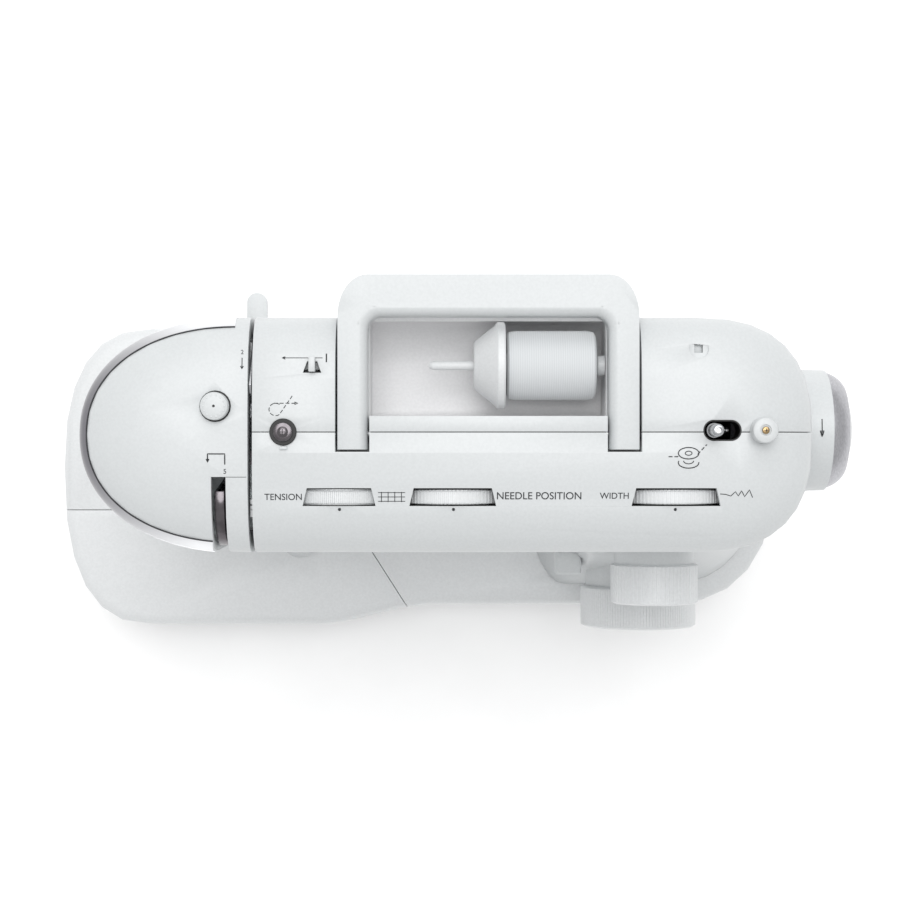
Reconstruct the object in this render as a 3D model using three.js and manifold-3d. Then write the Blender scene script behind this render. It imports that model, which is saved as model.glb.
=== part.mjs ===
// A domestic free-arm sewing machine with a folding carry handle.
// Millimetres, +Z up, +X towards the handwheel, +Y away from the sewer. The origin is under the
// middle of the machine, on the surface that the rubber feet stand on.
import * as THREE from "three";
import { mergeVertices } from "three/addons/utils/BufferGeometryUtils.js";
import Module from "manifold-3d";

const wasm = await Module();
wasm.setup();

// ---- Driving dimensions ----
const wall = 2.6; // casing wall
const gap = 0.4; // joint line between two casings, and clearance between neighbours
const run = 0.3; // radial clearance of a turning or sliding fit

const footHeight = 6;
const bedZ = 75; // sewing surface
const baseLeft = -200;
const baseRight = 190;
const baseBack = 76;
const trayFront = -86;

const armLeft = -153;
const armRight = 172.5;
const armFront = -36;
const armBack = 68.5;
const armUnder = 190;
const armTop = 285;
const headUnder = 160;
const headSeamX = -75.5; // thread channel between the face cover and the casings
const channelWidth = 2;
const casingSeamY = 17.3;

const columnLeft = 64;
const frontSlope = 0.22; // the column's front leans out towards the bottom
const slopeTopZ = 200;

const shaftY = 18.8;
const shaftZ = 215;
const shaftR = 4.5;
const lowerShaftZ = 42;
const lowerShaftR = 4;
const pulleyX = 94;
const pulleyR = 11;

const needleX = -90.5;
const needleY = 15.5;
const needleBarR = 3.2;
const presserY = 28.5;
const presserBarR = 3;

const hookY = needleY - 16;
const bobbinR = 10.3;
const hookR = bobbinR + 4.7; // the hook is sized round the bobbin in its case

const freeArmLeft = -160;
const freeArmFront = -20.5;
const freeArmBack = 53.5;
const freeArmUnder = 13;

const handleLeft = -37.5;
const handleRight = 94;
const handleLegWidth = 13;
const handleBack = 86;
const handleGripDepth = 18;
const handleThick = 13.6;
const handlePivotY = 16.5;
const handlePivotZ = 276;
const handlePinR = 2;

const spoolBayLeft = -24.5 + gap;
const spoolBayRight = 81 - gap;
const spoolBayFront = 24.3;
const spoolBayBack = 66.9; // clears the spool cap; the wall behind it merges with the rear casing
const spoolBayFloor = 239;
const spoolY = 47.2;
const spoolZ = 262;
const spoolR = 15.4;
const spoolPinR = 2;

const wheelY = -11; // row of the three thumbwheels on top
const wheelThick = 6.4;
const wheelR = 24;
const dialX = 110; // the two selector dials on the column
const plateY = 36; // upright casting behind the shafts
const plateThick = 4;

// ---- Mesh and solid helpers ----
function toSolid(geometry) {
  const g = geometry.clone();
  g.deleteAttribute("normal");
  g.deleteAttribute("uv");
  const merged = mergeVertices(g, 1e-4);
  return new wasm.Manifold(
    new wasm.Mesh({
      numProp: 3,
      vertProperties: new Float32Array(merged.attributes.position.array),
      triVerts: new Uint32Array(merged.index.array),
    }),
  );
}

function toGeometry(solid) {
  const m = solid.getMesh();
  const g = new THREE.BufferGeometry();
  g.setAttribute("position", new THREE.BufferAttribute(new Float32Array(m.vertProperties), 3));
  g.setIndex(new THREE.BufferAttribute(new Uint32Array(m.triVerts), 1));
  g.computeVertexNormals();
  return g;
}

const join = (...parts) => parts.reduce((a, b) => a.add(b));
const cut = (solid, ...tools) => tools.reduce((a, b) => a.subtract(b), solid);

function box(x0, x1, y0, y1, z0, z1) {
  const g = new THREE.BoxGeometry(x1 - x0, y1 - y0, z1 - z0);
  g.translate((x0 + x1) / 2, (y0 + y1) / 2, (z0 + z1) / 2);
  return toSolid(g);
}

// A turned piece: profile of [radius, along] pairs round an axis through (x, y, z).
function turned(profile, axis, [x, y, z], sides = 20) {
  const g = new THREE.LatheGeometry(profile.map(([r, t]) => new THREE.Vector2(r, t)), sides);
  if (axis === "x") g.rotateZ(-Math.PI / 2);
  if (axis === "z") g.rotateX(Math.PI / 2);
  g.translate(x, y, z);
  const s = toSolid(g);
  return s.volume() < 0 ? turned([...profile].reverse(), axis, [x, y, z], sides) : s;
}

function rod(radius, from, to, axis, [x, y, z], sides = 20) {
  return turned([[0, from], [radius, from], [radius, to], [0, to]], axis, [x, y, z], sides);
}

function ring(outer, inner, from, to, axis, at, sides = 24) {
  return turned(
    [[inner, from], [outer, from], [outer, to], [inner, to], [inner, from]], axis, at, sides);
}

// A closed outline pushed along +Z, or stood up so that its plane is XZ or YZ.
function prism(shape, from, to, plane = "xy", curveSegments = 8) {
  const g = new THREE.ExtrudeGeometry(shape, { depth: to - from, bevelEnabled: false, curveSegments });
  g.translate(0, 0, from);
  if (plane === "xz") g.rotateX(Math.PI / 2).scale(1, -1, 1);
  if (plane === "yz") g.rotateX(Math.PI / 2).rotateZ(Math.PI / 2);
  if (plane === "xz") flip(g);
  return toSolid(g);
}

// Turns every face round, after a mirroring scale.
function flip(g) {
  const p = g.attributes.position;
  for (let i = 0; i < p.count; i += 3) {
    const a = [p.getX(i), p.getY(i), p.getZ(i)];
    p.setXYZ(i, p.getX(i + 1), p.getY(i + 1), p.getZ(i + 1));
    p.setXYZ(i + 1, ...a);
  }
}

const polygon = (points) => new THREE.Shape(points.map(([x, y]) => new THREE.Vector2(x, y)));

function roundedRect(x0, x1, y0, y1, r) {
  const s = new THREE.Shape();
  s.moveTo(x0 + r, y0);
  s.lineTo(x1 - r, y0);
  s.absarc(x1 - r, y0 + r, r, -Math.PI / 2, 0);
  s.lineTo(x1, y1 - r);
  s.absarc(x1 - r, y1 - r, r, 0, Math.PI / 2);
  s.lineTo(x0 + r, y1);
  s.absarc(x0 + r, y1 - r, r, Math.PI / 2, Math.PI);
  s.lineTo(x0, y0 + r);
  s.absarc(x0 + r, y0 + r, r, Math.PI, Math.PI * 1.5);
  return s;
}

// Stacks closed rings of equal length into one solid.
function loft(rings) {
  const n = rings[0].length;
  const positions = rings.flat().flatMap((p) => [p.x, p.y, p.z]);
  const faces = [];
  for (let k = 0; k + 1 < rings.length; k++)
    for (let i = 0; i < n; i++) {
      const a = k * n + i;
      const b = k * n + ((i + 1) % n);
      faces.push(a, b, b + n, a, b + n, a + n);
    }
  for (const [k, up] of [[0, false], [rings.length - 1, true]]) {
    const middle = positions.length / 3;
    const centre = rings[k].reduce((c, p) => c.add(p), new THREE.Vector3()).divideScalar(n);
    positions.push(centre.x, centre.y, centre.z);
    for (let i = 0; i < n; i++) {
      const a = k * n + i;
      const b = k * n + ((i + 1) % n);
      if (up) faces.push(middle, a, b);
      else faces.push(middle, b, a);
    }
  }
  const g = new THREE.BufferGeometry();
  g.setAttribute("position", new THREE.Float32BufferAttribute(positions, 3));
  g.setIndex(faces);
  return toSolid(g);
}

// A plan outline at one height: straight sides, and an end of superellipse form at each side.
function planRing(z, plan, inset = 0, endSteps = 16) {
  const { left, right, front, back, leftDepth, rightDepth, power, rightPower = power } = plan;
  const half = (back - front) / 2 - inset;
  const middle = (back + front) / 2;
  const points = [];
  const end = (x, depth, sign, power) => {
    for (let i = 0; i <= endSteps; i++) {
      const a = -Math.PI / 2 + (Math.PI * i) / endSteps;
      const c = Math.pow(Math.abs(Math.cos(a)), 2 / power);
      const s = Math.sign(Math.sin(a)) * Math.pow(Math.abs(Math.sin(a)), 2 / power);
      points.push(new THREE.Vector3(x + sign * c * depth, middle + sign * s * half, z));
    }
  };
  end(right - rightDepth, rightDepth - inset, 1, rightPower);
  end(left + leftDepth, leftDepth - inset, -1, power);
  return points;
}

// ---- Materials ----
const finishes = {
  white_abs: new THREE.MeshStandardMaterial({ color: 0xe6e8e8, roughness: 0.42 }),
  chrome_trim: new THREE.MeshStandardMaterial({ color: 0xa8a8ad, roughness: 0.25, metalness: 1 }),
  black_plastic: new THREE.MeshStandardMaterial({ color: 0x101010, roughness: 0.8 }),
  steel: new THREE.MeshStandardMaterial({ color: 0xb4b4b6, roughness: 0.3, metalness: 1 }),
  cast_aluminium: new THREE.MeshStandardMaterial({ color: 0x9a9c9e, roughness: 0.55, metalness: 1 }),
  brass: new THREE.MeshStandardMaterial({ color: 0xb5834a, roughness: 0.3, metalness: 1 }),
  rubber: new THREE.MeshStandardMaterial({ color: 0x2a2a2a, roughness: 0.9 }),
  thread: new THREE.MeshStandardMaterial({ color: 0xe9ebec, roughness: 0.8 }),
  clear_plastic: new THREE.MeshStandardMaterial({ color: 0xdfe6e8, roughness: 0.15,
      transparent: true, opacity: 0.5 }),
};

const machine = new THREE.Group();

function add(name, finish, solid) {
  const mesh = new THREE.Mesh(toGeometry(solid), finishes[finish]);
  mesh.name = name;
  machine.add(mesh);
  return solid;
}

// ---- Outer form of arm, head and column ----
const armPlan = {
  left: armLeft, right: armRight, front: armFront, back: armBack,
  leftDepth: 71, rightDepth: 52, power: 2.15, rightPower: 2.6,
};
const crownDepth = 44;
const crownHeight = 22;
const crownPower = 2.6;
const crownInsets = [0, 0.02, 0.07, 0.17, 0.36, 0.64, 1];
const coarseInsets = [0, 0.1, 0.36, 1];

// Height of the crowned top above its springing line, at a share of the crown's depth.
const crownRise = (share) => Math.pow(1 - Math.pow(1 - share, crownPower), 1 / crownPower);

function armForm(under, shell, underRound = 5, fine = shell <= 0) {
  const steps = fine ? 16 : 8;
  const ringAt = (z, inset) => planRing(z, armPlan, shell + inset, steps);
  const rings = [ringAt(under + shell, underRound), ringAt(under + shell + underRound, 0)];
  if (fine) rings.splice(1, 0, ringAt(under + shell + underRound * 0.3, underRound * 0.3));
  for (const share of fine ? crownInsets : coarseInsets) {
    const z = armTop - shell - crownHeight * (1 - crownRise(share));
    rings.push(ringAt(z, crownDepth * share));
  }
  return loft(rings);
}

const frontAt = (z) => armFront - frontSlope * Math.max(0, slopeTopZ - z);

function columnForm(fromZ, shell) {
  const rings = [];
  const topZ = slopeTopZ + 6;
  const steps = 6;
  for (let i = 0; i <= steps; i++) {
    const z = fromZ + ((topZ - fromZ) * i) / steps;
    const low = Math.pow(Math.max(0, 1 - (z - bedZ) / 30), 2); // flare into the bed
    const high = Math.pow(Math.max(0, 1 - (armUnder + 4 - z) / 26), 2); // flare into the arm
    rings.push(planRing(z, {
      left: columnLeft - 12 * low - 14 * Math.min(1, high),
      right: armRight + 0.05 * Math.max(0, slopeTopZ - z),
      front: frontAt(z),
      back: armBack + 0.03 * Math.max(0, slopeTopZ - z),
      leftDepth: 22, rightDepth: 52, power: 2.15, rightPower: 2.6,
    }, shell, shell > 0 ? 8 : 16));
  }
  return loft(rings);
}

const columnFoot = bedZ + gap;
const outer = join(armForm(armUnder, 0), columnForm(columnFoot, 0));
const inner = join(armForm(armUnder, wall), columnForm(columnFoot - 5, wall));
const shell = cut(outer, inner);

const far = 400; // reach of the half-space boxes
const beyond = 1; // overshoot of a cutter past the face that it opens
const rightOfSeam = box(headSeamX + channelWidth / 2, far, -far, far, 0, far);
const frontSide = box(-far, far, -far, casingSeamY - gap / 2, 0, far);
const rearSide = box(-far, far, casingSeamY + gap / 2, far, 0, far);

// ---- Cutters on the top of the arm ----
const handleLegs = [handleLeft, handleRight - handleLegWidth];
const channelClear = 1;
const channelFloor = handlePivotZ - handleThick / 2 - channelClear;
const channelFront = handlePivotY - handleThick / 2 - channelClear;
const handleChannels = handleLegs.map((x) =>
  box(x - channelClear, x + handleLegWidth + channelClear, channelFront, far, channelFloor, armTop + 5));
const channelTubs = handleLegs.map((x) =>
  box(x - channelClear - wall, x + handleLegWidth + channelClear + wall,
    channelFront - wall, armBack - 1, channelFloor - wall, armTop).intersect(outer));

function bayProfile(grow) {
  const s = new THREE.Shape();
  s.moveTo(spoolBayFront - grow, armTop + 8);
  s.lineTo(spoolBayFront - grow, spoolBayFloor + 4);
  s.quadraticCurveTo(spoolBayFront - grow, spoolBayFloor - grow, spoolBayFront + 5, spoolBayFloor - grow);
  s.lineTo(spoolBayBack - 18, spoolBayFloor - grow);
  s.quadraticCurveTo(spoolBayBack + grow, spoolBayFloor - grow, spoolBayBack + grow, spoolBayFloor + 20);
  s.lineTo(spoolBayBack + grow, armTop + 8);
  return s;
}
const spoolBay = prism(bayProfile(0), spoolBayLeft, spoolBayRight, "yz", 7);
const spoolTub = prism(bayProfile(wall), spoolBayLeft - wall, spoolBayRight + wall, "yz",
    7).intersect(outer);
const bayRim = box(handleLeft - 1, handleRight + 1, spoolBayBack - 1, far, spoolZ + 1, armTop + 5);

const wheelCentres = [-36.8, 12.7, 109.9];
const wheelHalfChord = [14, 17, 17.5];
const wheelRise = 0.9; // how far a thumbwheel stands out of the crown
const crownZ = armTop - crownHeight * (1 - crownRise((wheelY - armFront) / crownDepth));
const wheelZ = crownZ + wheelRise - wheelR;
// A slot is a trapezium, wider at its front edge.
const wheelSlots = wheelCentres.map((x, i) => {
  const w = wheelHalfChord[i];
  const h = wheelThick / 2 + 0.7;
  return prism(polygon([
    [x - w - 1.9, wheelY - h], [x + w + 1.9, wheelY - h], [x + w, wheelY + h], [x - w, wheelY + h],
  ]), crownZ - 14, armTop + 5);
});

const winderX = [126.1, 133.6]; // where the bobbin winder spindle starts and ends
const winderY = 18;
const winderSlotR = 4.6;
const winderSlot = prism(
  roundedRect(winderX[0] - winderSlotR, winderX[1] + winderSlotR,
    winderY - winderSlotR, winderY + winderSlotR, winderSlotR - 0.05),
  armTop - 15, armTop + 5);
const auxHole = { x: 120, y: 53.8, z: 281.5, r: 4.4, side: 3.7 };
const auxRecess = rod(auxHole.r, -0.9, 10, "z", [auxHole.x, auxHole.y, auxHole.z]);
const auxSquare = box(auxHole.x - auxHole.side / 2, auxHole.x + auxHole.side / 2,
  auxHole.y - auxHole.side / 2, auxHole.y + auxHole.side / 2, armTop - 30, armTop);
const guideX = -48.5;
const guideY = 44.5;
const guidePocket = prism(polygon([
  [guideX - 4, guideY - 1.4], [guideX + 4, guideY - 1.4], [guideX + 2.2, guideY + 3.6],
      [guideX - 2.2, guideY + 3.6],
]), 272, armTop + 2);

const shaftHoles = rod(8, -far, far, "x", [0, shaftY, shaftZ]);
const tensionX = -61;
const tensionHole = rod(3.4, -12, 10, "z", [tensionX, casingSeamY, armTop]);

// ---- Casings ----
let frontCasing = join(shell.intersect(rightOfSeam).intersect(frontSide),
  ...channelTubs.map((t) => t.intersect(frontSide)));
const handleRodHole = rod(handlePinR + run, handleLeft - 6, handleRight + 6, "x", [0, handlePivotY,
    handlePivotZ], 16);
frontCasing = cut(frontCasing, ...handleChannels, ...wheelSlots, winderSlot, tensionHole, shaftHoles,
    handleRodHole);

let rearCasing = join(shell.intersect(rightOfSeam).intersect(rearSide),
  ...channelTubs.map((t) => t.intersect(rearSide)), spoolTub.intersect(rearSide));
rearCasing = cut(rearCasing, spoolBay, bayRim, ...handleChannels, winderSlot, auxRecess, auxSquare,
  guidePocket, tensionHole, shaftHoles, handleRodHole);

// Openings for the dials, the reverse button and the sockets.
const lengthDial = { z: 193, r: 21, front: -64.2, back: -45.8, collarR: 19.3 };
const patternDial = { z: 115, r: 30, front: -82, back: -62, collarR: 27.5 };
const dialStemR = 4;
const dials = { length_dial: lengthDial, pattern_dial: patternDial };
for (const { z, back, collarR } of Object.values(dials)) {
  const collar = cut(rod(collarR, back + gap, -25, "y", [dialX, 0, z], 28), inner);
  frontCasing = cut(join(frontCasing, collar), rod(dialStemR + run, -80, -20, "y", [dialX, 0, z], 20));
}
const reverse = { x: 72, z: 132, width: 13, height: 20 };
const reverseWindow = (grow) => box(
  reverse.x - reverse.width / 2 - grow, reverse.x + reverse.width / 2 + grow, -70, -20,
  reverse.z - reverse.height / 2 - grow, reverse.z + reverse.height / 2 + grow);
frontCasing = cut(frontCasing, reverseWindow(gap));
add("front_casing", "white_abs", frontCasing);

const socket = { y: 42, z: 92, width: 26, height: 20 };
const powerSwitch = { y: 42, z: 124, width: 20, height: 13 };
const sideWindow = ({ y, z, width, height }, grow) => box(
  armRight - 40, armRight + 30, y - width / 2 - grow, y + width / 2 + grow,
  z - height / 2 - grow, z + height / 2 + grow);
const rockGap = 1.2; // room for the rocker to tilt in its window
rearCasing = cut(rearCasing, sideWindow(socket, gap), sideWindow(powerSwitch, rockGap));
add("rear_casing", "white_abs", rearCasing);

// Face cover at the needle end, open underneath and towards the arm.
const headForm = (shellInset) => armForm(headUnder, shellInset, 4);
const leftOfSeam = box(-far, headSeamX - channelWidth / 2, -far, far, 0, far);
const headInside = headForm(wall).intersect(box(-far, headSeamX - channelWidth / 2 - wall, -far, far,
    0, far));
let faceCover = cut(headForm(0).intersect(leftOfSeam), headInside);
const takeUpSlot = { x: -89.2, half: 3.2, back: -2.2, front: -34 };
const dialHoleR = 6.9;
const trimEndX = -95;
const lever = { x: -82, width: 9.6, z: 188, pivotY: 49, tip: 85.6 };
faceCover = cut(faceCover,
  box(takeUpSlot.x - takeUpSlot.half, takeUpSlot.x + takeUpSlot.half, -60, takeUpSlot.back, 214,
      armTop + 2),
  rod(dialHoleR, -20, 10, "z", [needleX, presserY, armTop]),
  box(-99, headSeamX, armFront + 12, armBack - 12, headUnder - 5, headUnder + wall + 1), // needle opening
  box(headSeamX - 8, headSeamX, armFront + 10, armBack - 10, armUnder - 8, 272), // way through to the arm
  box(lever.x - lever.width / 2 - 1, headSeamX, 52, far, headUnder - 5, 234),
  box(headSeamX - 6, headSeamX, armFront + 10, armBack - 10, headUnder + wall, armUnder));
// The chrome strip lies in a groove round the cover's upper edge, and is highest at the nose.
const trimDepth = 1.1;
const trimLow = 262;
const trimZone = (grow) => prism(polygon([
  [armLeft - 20, trimLow - grow], [trimEndX + grow, trimLow - grow],
  [trimEndX + grow, trimLow + 3.5 + grow], [armLeft - 20, trimLow + 15 + grow],
]), -far, far, "xz");
const skin = (depth) => cut(headForm(0), armForm(headUnder, depth, 4, true));
faceCover = cut(faceCover, skin(trimDepth).intersect(trimZone(0)));
add("face_cover", "white_abs", faceCover);
add("face_trim", "chrome_trim", skin(trimDepth - gap).intersect(trimZone(-gap)));

// ---- Base, free arm and accessory tray ----
// The front edge steps forward from the base to the tray in an S-shaped curve.
const stepFrom = -62;
const stepTo = 4;
const baseFrontY = -75;
function baseFront(x, z) {
  const t = THREE.MathUtils.smoothstep(x, stepFrom, stepTo);
  return trayFront + (baseFrontY - trayFront) * t;
}
const baseEdge = 6;
function baseRing(z, inset) {
  const left = { x: baseLeft + 48, depth: 48, power: 2.5 };
  const right = { x: baseRight - 60, depth: 60, power: 2.4 };
  const points = [];
  const arc = ({ x, depth, power }, sign, from, to, front) => {
    for (let i = 0; i <= 12; i++) {
      const a = from + ((to - from) * i) / 12;
      const c = Math.pow(Math.abs(Math.cos(a)), 2 / power);
      const s = Math.sign(Math.sin(a)) * Math.pow(Math.abs(Math.sin(a)), 2 / power);
      const reach = s < 0 ? -front - inset : baseBack - inset;
      points.push(new THREE.Vector3(x + sign * c * (depth - inset), s * reach, z));
    }
  };
  arc(right, 1, -Math.PI / 2, Math.PI / 2, baseFront(right.x, z));
  arc(left, -1, Math.PI / 2, -Math.PI / 2, trayFront);
  for (let i = 0; i <= 14; i++) {
    const x = stepFrom - 10 + ((stepTo - stepFrom + 30) * i) / 14;
    points.push(new THREE.Vector3(x, baseFront(x, z) + inset, z));
  }
  return points;
}
function baseForm(low, high, inset) {
  return loft([
    baseRing(low, inset + 1.5), baseRing(low + 2, inset), baseRing(high - baseEdge, inset),
    baseRing(high - baseEdge * 0.4, inset + baseEdge * 0.12),
    baseRing(high - baseEdge * 0.12, inset + baseEdge * 0.45), baseRing(high, inset + baseEdge),
  ]);
}
// The tray's side of the slanting joint line, in plan.
const seamSlope = 17.9 / 28.1;
const seamAt = (y) => -13.4 - (y + 73.5) * seamSlope;
const freeArmRight = seamAt(freeArmFront);
const trayRegion = (shift, low, high) => prism(polygon([
  [-far, -far], [seamAt(-far) + shift, -far], [seamAt(freeArmFront) + shift, freeArmFront],
  [seamAt(freeArmFront) + shift, far], [-far, far],
]), low, high);
const freeArmPocket = box(freeArmLeft - gap, far, freeArmFront - gap, freeArmBack + gap, -far, far);

const baseOuter = baseForm(footHeight, bedZ, 0);
const baseInner = baseForm(footHeight - 8, bedZ - wall, wall);
let baseCasing = cut(baseOuter, baseInner, trayRegion(0, 0, far));
const baseLeftWall = cut(baseOuter, trayRegion(0, 0, far)).intersect(trayRegion(wall, 0, far));
baseCasing = join(baseCasing, baseLeftWall);
const freeArmMouth = box(freeArmRight - 5, freeArmRight + 8, freeArmFront + wall, freeArmBack - wall,
    footHeight - 2, bedZ - wall);
const columnMouth = columnForm(bedZ - 8, wall + 2).intersect(box(-far, far, -far, far, 0, bedZ + 4));
baseCasing = cut(baseCasing, freeArmMouth, columnMouth);
add("base_casing", "white_abs", baseCasing);

// Free arm: a hollow beam with its nose rounded, open into the base.
const freeArmPlan = {
  left: freeArmLeft, right: freeArmRight + 40, front: freeArmFront, back: freeArmBack,
  leftDepth: 26, rightDepth: 20, power: 2.4,
};
const nose = box(-far, freeArmRight - gap, -far, far, 0, far);
const armRings = (low, high, inset) => loft([
  planRing(low, freeArmPlan, inset + 2), planRing(low + 2, freeArmPlan, inset),
  planRing(high - 2, freeArmPlan, inset), planRing(high - 0.6, freeArmPlan, inset + 0.5),
  planRing(high, freeArmPlan, inset + 2)]);
const plate = { left: -119, right: -61, front: freeArmFront + 3.4, back: freeArmBack - 3.4, thick: 1.6 };
const plateHole = (grow, low, high) => box(
  plate.left - grow, plate.right + grow, plate.front - grow, plate.back + grow, low, high);
let freeArm = cut(armRings(freeArmUnder, bedZ, 0).intersect(nose),
  armRings(freeArmUnder + wall, bedZ - wall, wall));
const ledge = 3;
freeArm = cut(freeArm, plateHole(gap, bedZ - plate.thick - gap, bedZ + 2), plateHole(-ledge, 50,
    bedZ + 2));
add("free_arm_casing", "white_abs", freeArm);

// Accessory tray: wraps the free arm, with a hinged lid over its front compartment.
const lidZ = 68.6;
const lidBack = freeArmFront - gap - 2.5;
const trayFloor = 10;
const frontHalf = (y, low, high) => box(-far, far, -far, y, low, high);
const trayBody = cut(baseOuter.intersect(trayRegion(-gap, 0, far)), freeArmPocket);
const trayHollow = cut(baseInner.intersect(trayRegion(-gap - wall, -far, far)), box(
  freeArmLeft - gap - wall, far, freeArmFront - gap - wall, freeArmBack + gap + wall, -far, far));
const trayBottom = trayBody.intersect(frontHalf(lidBack, trayFloor, trayFloor + wall));
const lidZone = frontHalf(lidBack, lidZ, far);
add("accessory_tray", "white_abs", cut(join(cut(trayBody, trayHollow), trayBottom),
  frontHalf(lidBack + gap, lidZ - gap, far)));
const fingerNotch = { x: -69.7, y: -37.4, r: 11.8, depth: 1.6 };
const lidHollow = trayHollow.intersect(frontHalf(lidBack - wall, lidZ - beyond, far));
add("tray_lid", "white_abs", cut(trayBody.intersect(lidZone), lidHollow,
  rod(fingerNotch.r, -fingerNotch.depth, 5, "z", [fingerNotch.x, fingerNotch.y, bedZ], 36)));

const bottomThick = 2.4;
const bottomRight = baseForm(footHeight - 2, footHeight + 8, wall + 0.5)
  .intersect(box(-far, far, -far, far, footHeight, footHeight + bottomThick));
add("bottom_plate", "white_abs", cut(bottomRight, trayRegion(wall + gap, 0, far)));
const footR = 8;
const feet = [[-14, -50], [-34, 56], [150, -46], [150, 56]];
feet.forEach(([x, y], i) => add(`rubber_foot_${i + 1}`, "rubber",
  turned([[0, 0], [footR - 1, 0], [footR, 1.2], [footR, footHeight - run], [0, footHeight - run]],
    "z", [x, y, 0], 20)));

// Needle plate with slots for the needle and the feed dog, and the clear cover over the bobbin.
const cover = { left: -107, right: -74, front: plate.front + gap, back: 12.5 };
const feedSlots = [needleX - 5.5, needleX + 5.5];
const feedSlotHalf = 1.6;
let needlePlate = plateHole(0, bedZ - plate.thick, bedZ);
needlePlate = cut(needlePlate,
  box(cover.left - gap, cover.right + gap, -far, cover.back + gap, 0, far),
  prism(roundedRect(needleX - 3.5, needleX + 3.5, needleY - 1, needleY + 1, 0.9), 0, far),
  ...feedSlots.map((x) => box(x - feedSlotHalf, x + feedSlotHalf, 19, 35.5, 0, far)));
add("needle_plate", "steel", needlePlate);
add("bobbin_cover", "clear_plastic", prism(
  roundedRect(cover.left, cover.right, cover.front, cover.back, 2), bedZ - plate.thick, bedZ - 0.1));

// ---- Carry handle ----
function handleOutline() {
  const s = new THREE.Shape();
  const outerR = 18;
  const innerR = 6;
  const legEnd = handlePivotY;
  const gripFront = handleBack - handleGripDepth;
  s.moveTo(handleLeft, legEnd);
  s.lineTo(handleLeft + handleLegWidth, legEnd);
  s.lineTo(handleLeft + handleLegWidth, gripFront - innerR);
  s.absarc(handleLeft + handleLegWidth + innerR, gripFront - innerR, innerR, Math.PI, Math.PI / 2, true);
  s.lineTo(handleRight - handleLegWidth - innerR, gripFront);
  s.absarc(handleRight - handleLegWidth - innerR, gripFront - innerR, innerR, Math.PI / 2, 0, true);
  s.lineTo(handleRight - handleLegWidth, legEnd);
  s.lineTo(handleRight, legEnd);
  s.lineTo(handleRight, handleBack - outerR);
  s.absarc(handleRight - outerR, handleBack - outerR, outerR, 0, Math.PI / 2);
  s.lineTo(handleLeft + outerR, handleBack);
  s.absarc(handleLeft + outerR, handleBack - outerR, outerR, Math.PI / 2, Math.PI);
  return s;
}
const halfThick = handleThick / 2;
const legEnds = handleLegs.map((x) => rod(halfThick, x, x + handleLegWidth, "x", [0, handlePivotY,
    handlePivotZ], 24));
add("carry_handle", "white_abs", cut(
  join(prism(handleOutline(), handlePivotZ - halfThick, handlePivotZ + halfThick, "xy", 8), ...legEnds),
  rod(handlePinR + run, -far, far, "x", [0, handlePivotY, handlePivotZ], 16)));
add("handle_rod", "steel", rod(handlePinR, handleLeft - channelClear - wall - 1.5,
  handleRight + channelClear + wall + 1.5, "x", [0, handlePivotY, handlePivotZ], 16));

// ---- Thread spool on its pin ----
add("spool_pin", "white_abs", join(
  rod(spoolPinR, 2, spoolBayRight - 0.3, "x", [0, spoolY, spoolZ], 14),
  rod(4.5, spoolBayRight - 3.4, spoolBayRight - 0.3, "x", [0, spoolY, spoolZ], 14)));
add("thread_spool", "thread", ring(spoolR, 4, 36.4, 76.4, "x", [0, spoolY, spoolZ], 28));
add("spool_cap", "white_abs", turned(
  [[spoolPinR + run, 22], [11, 22], [18.2, 32], [19.4, 32], [19.4, 36], [spoolPinR + run, 36],
      [spoolPinR + run, 22]],
  "x", [0, spoolY, spoolZ], 28));

// ---- Thumbwheels and dials ----
const wheelNames = ["tension_dial", "needle_position_dial", "width_dial"];
wheelCentres.forEach((x, i) => add(wheelNames[i], "white_abs",
  ring(wheelR, 3 + run, wheelY - wheelThick / 2, wheelY + wheelThick / 2, "y", [x, 0, wheelZ], 30)));
for (const [name, d] of Object.entries(dials)) {
  add(name, "white_abs", join(
    turned([[0, d.front], [d.r - 2.5, d.front], [d.r - 0.8, d.front + 1], [d.r, d.front + 4], [d.r,
        d.back], [0, d.back]],
      "y", [dialX, 0, d.z], 28),
    rod(dialStemR, d.back - 1, -24, "y", [dialX, 0, d.z], 16)));
}
const reverseFront = frontAt(reverse.z) - 3;
add("reverse_button", "white_abs", box(
  reverse.x - reverse.width / 2, reverse.x + reverse.width / 2, reverseFront, reverseFront + 12,
  reverse.z - reverse.height / 2, reverse.z + reverse.height / 2));

// ---- Handwheel and shafts ----
const wheelInner = armRight + 2.5; // the handwheel stands clear of the casing
add("handwheel", "white_abs", turned(
  [[shaftR + run, wheelInner], [28.6, wheelInner], [28.4, 180], [27.4, 186.2], [20.9, 186.2],
    [20.9, 195.2], [18, 196.6], [12, 198.4], [6, 199.5], [0, 200], [0, 191], [shaftR + run, 191],
    [shaftR + run, wheelInner]],
  "x", [0, shaftY, shaftZ], 30));
add("handwheel_ring", "chrome_trim", turned(
  [[21.2, 186.6], [27.3, 186.6], [26.6, 189.6], [24.9, 192.6], [22.6, 195], [21.2, 195.6],
      [21.2, 186.6]],
  "x", [0, shaftY, shaftZ], 30));
const crank = { x: -71, r: 13, thick: 5 };
const beltPulley = { x: 158, r: 22 };
const motorAt = { x0: 104, x1: 150, y: -2, z: 100, r: 20 };
const motorPulleyR = 6;
const motorPulleyY = motorAt.y;
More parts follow.
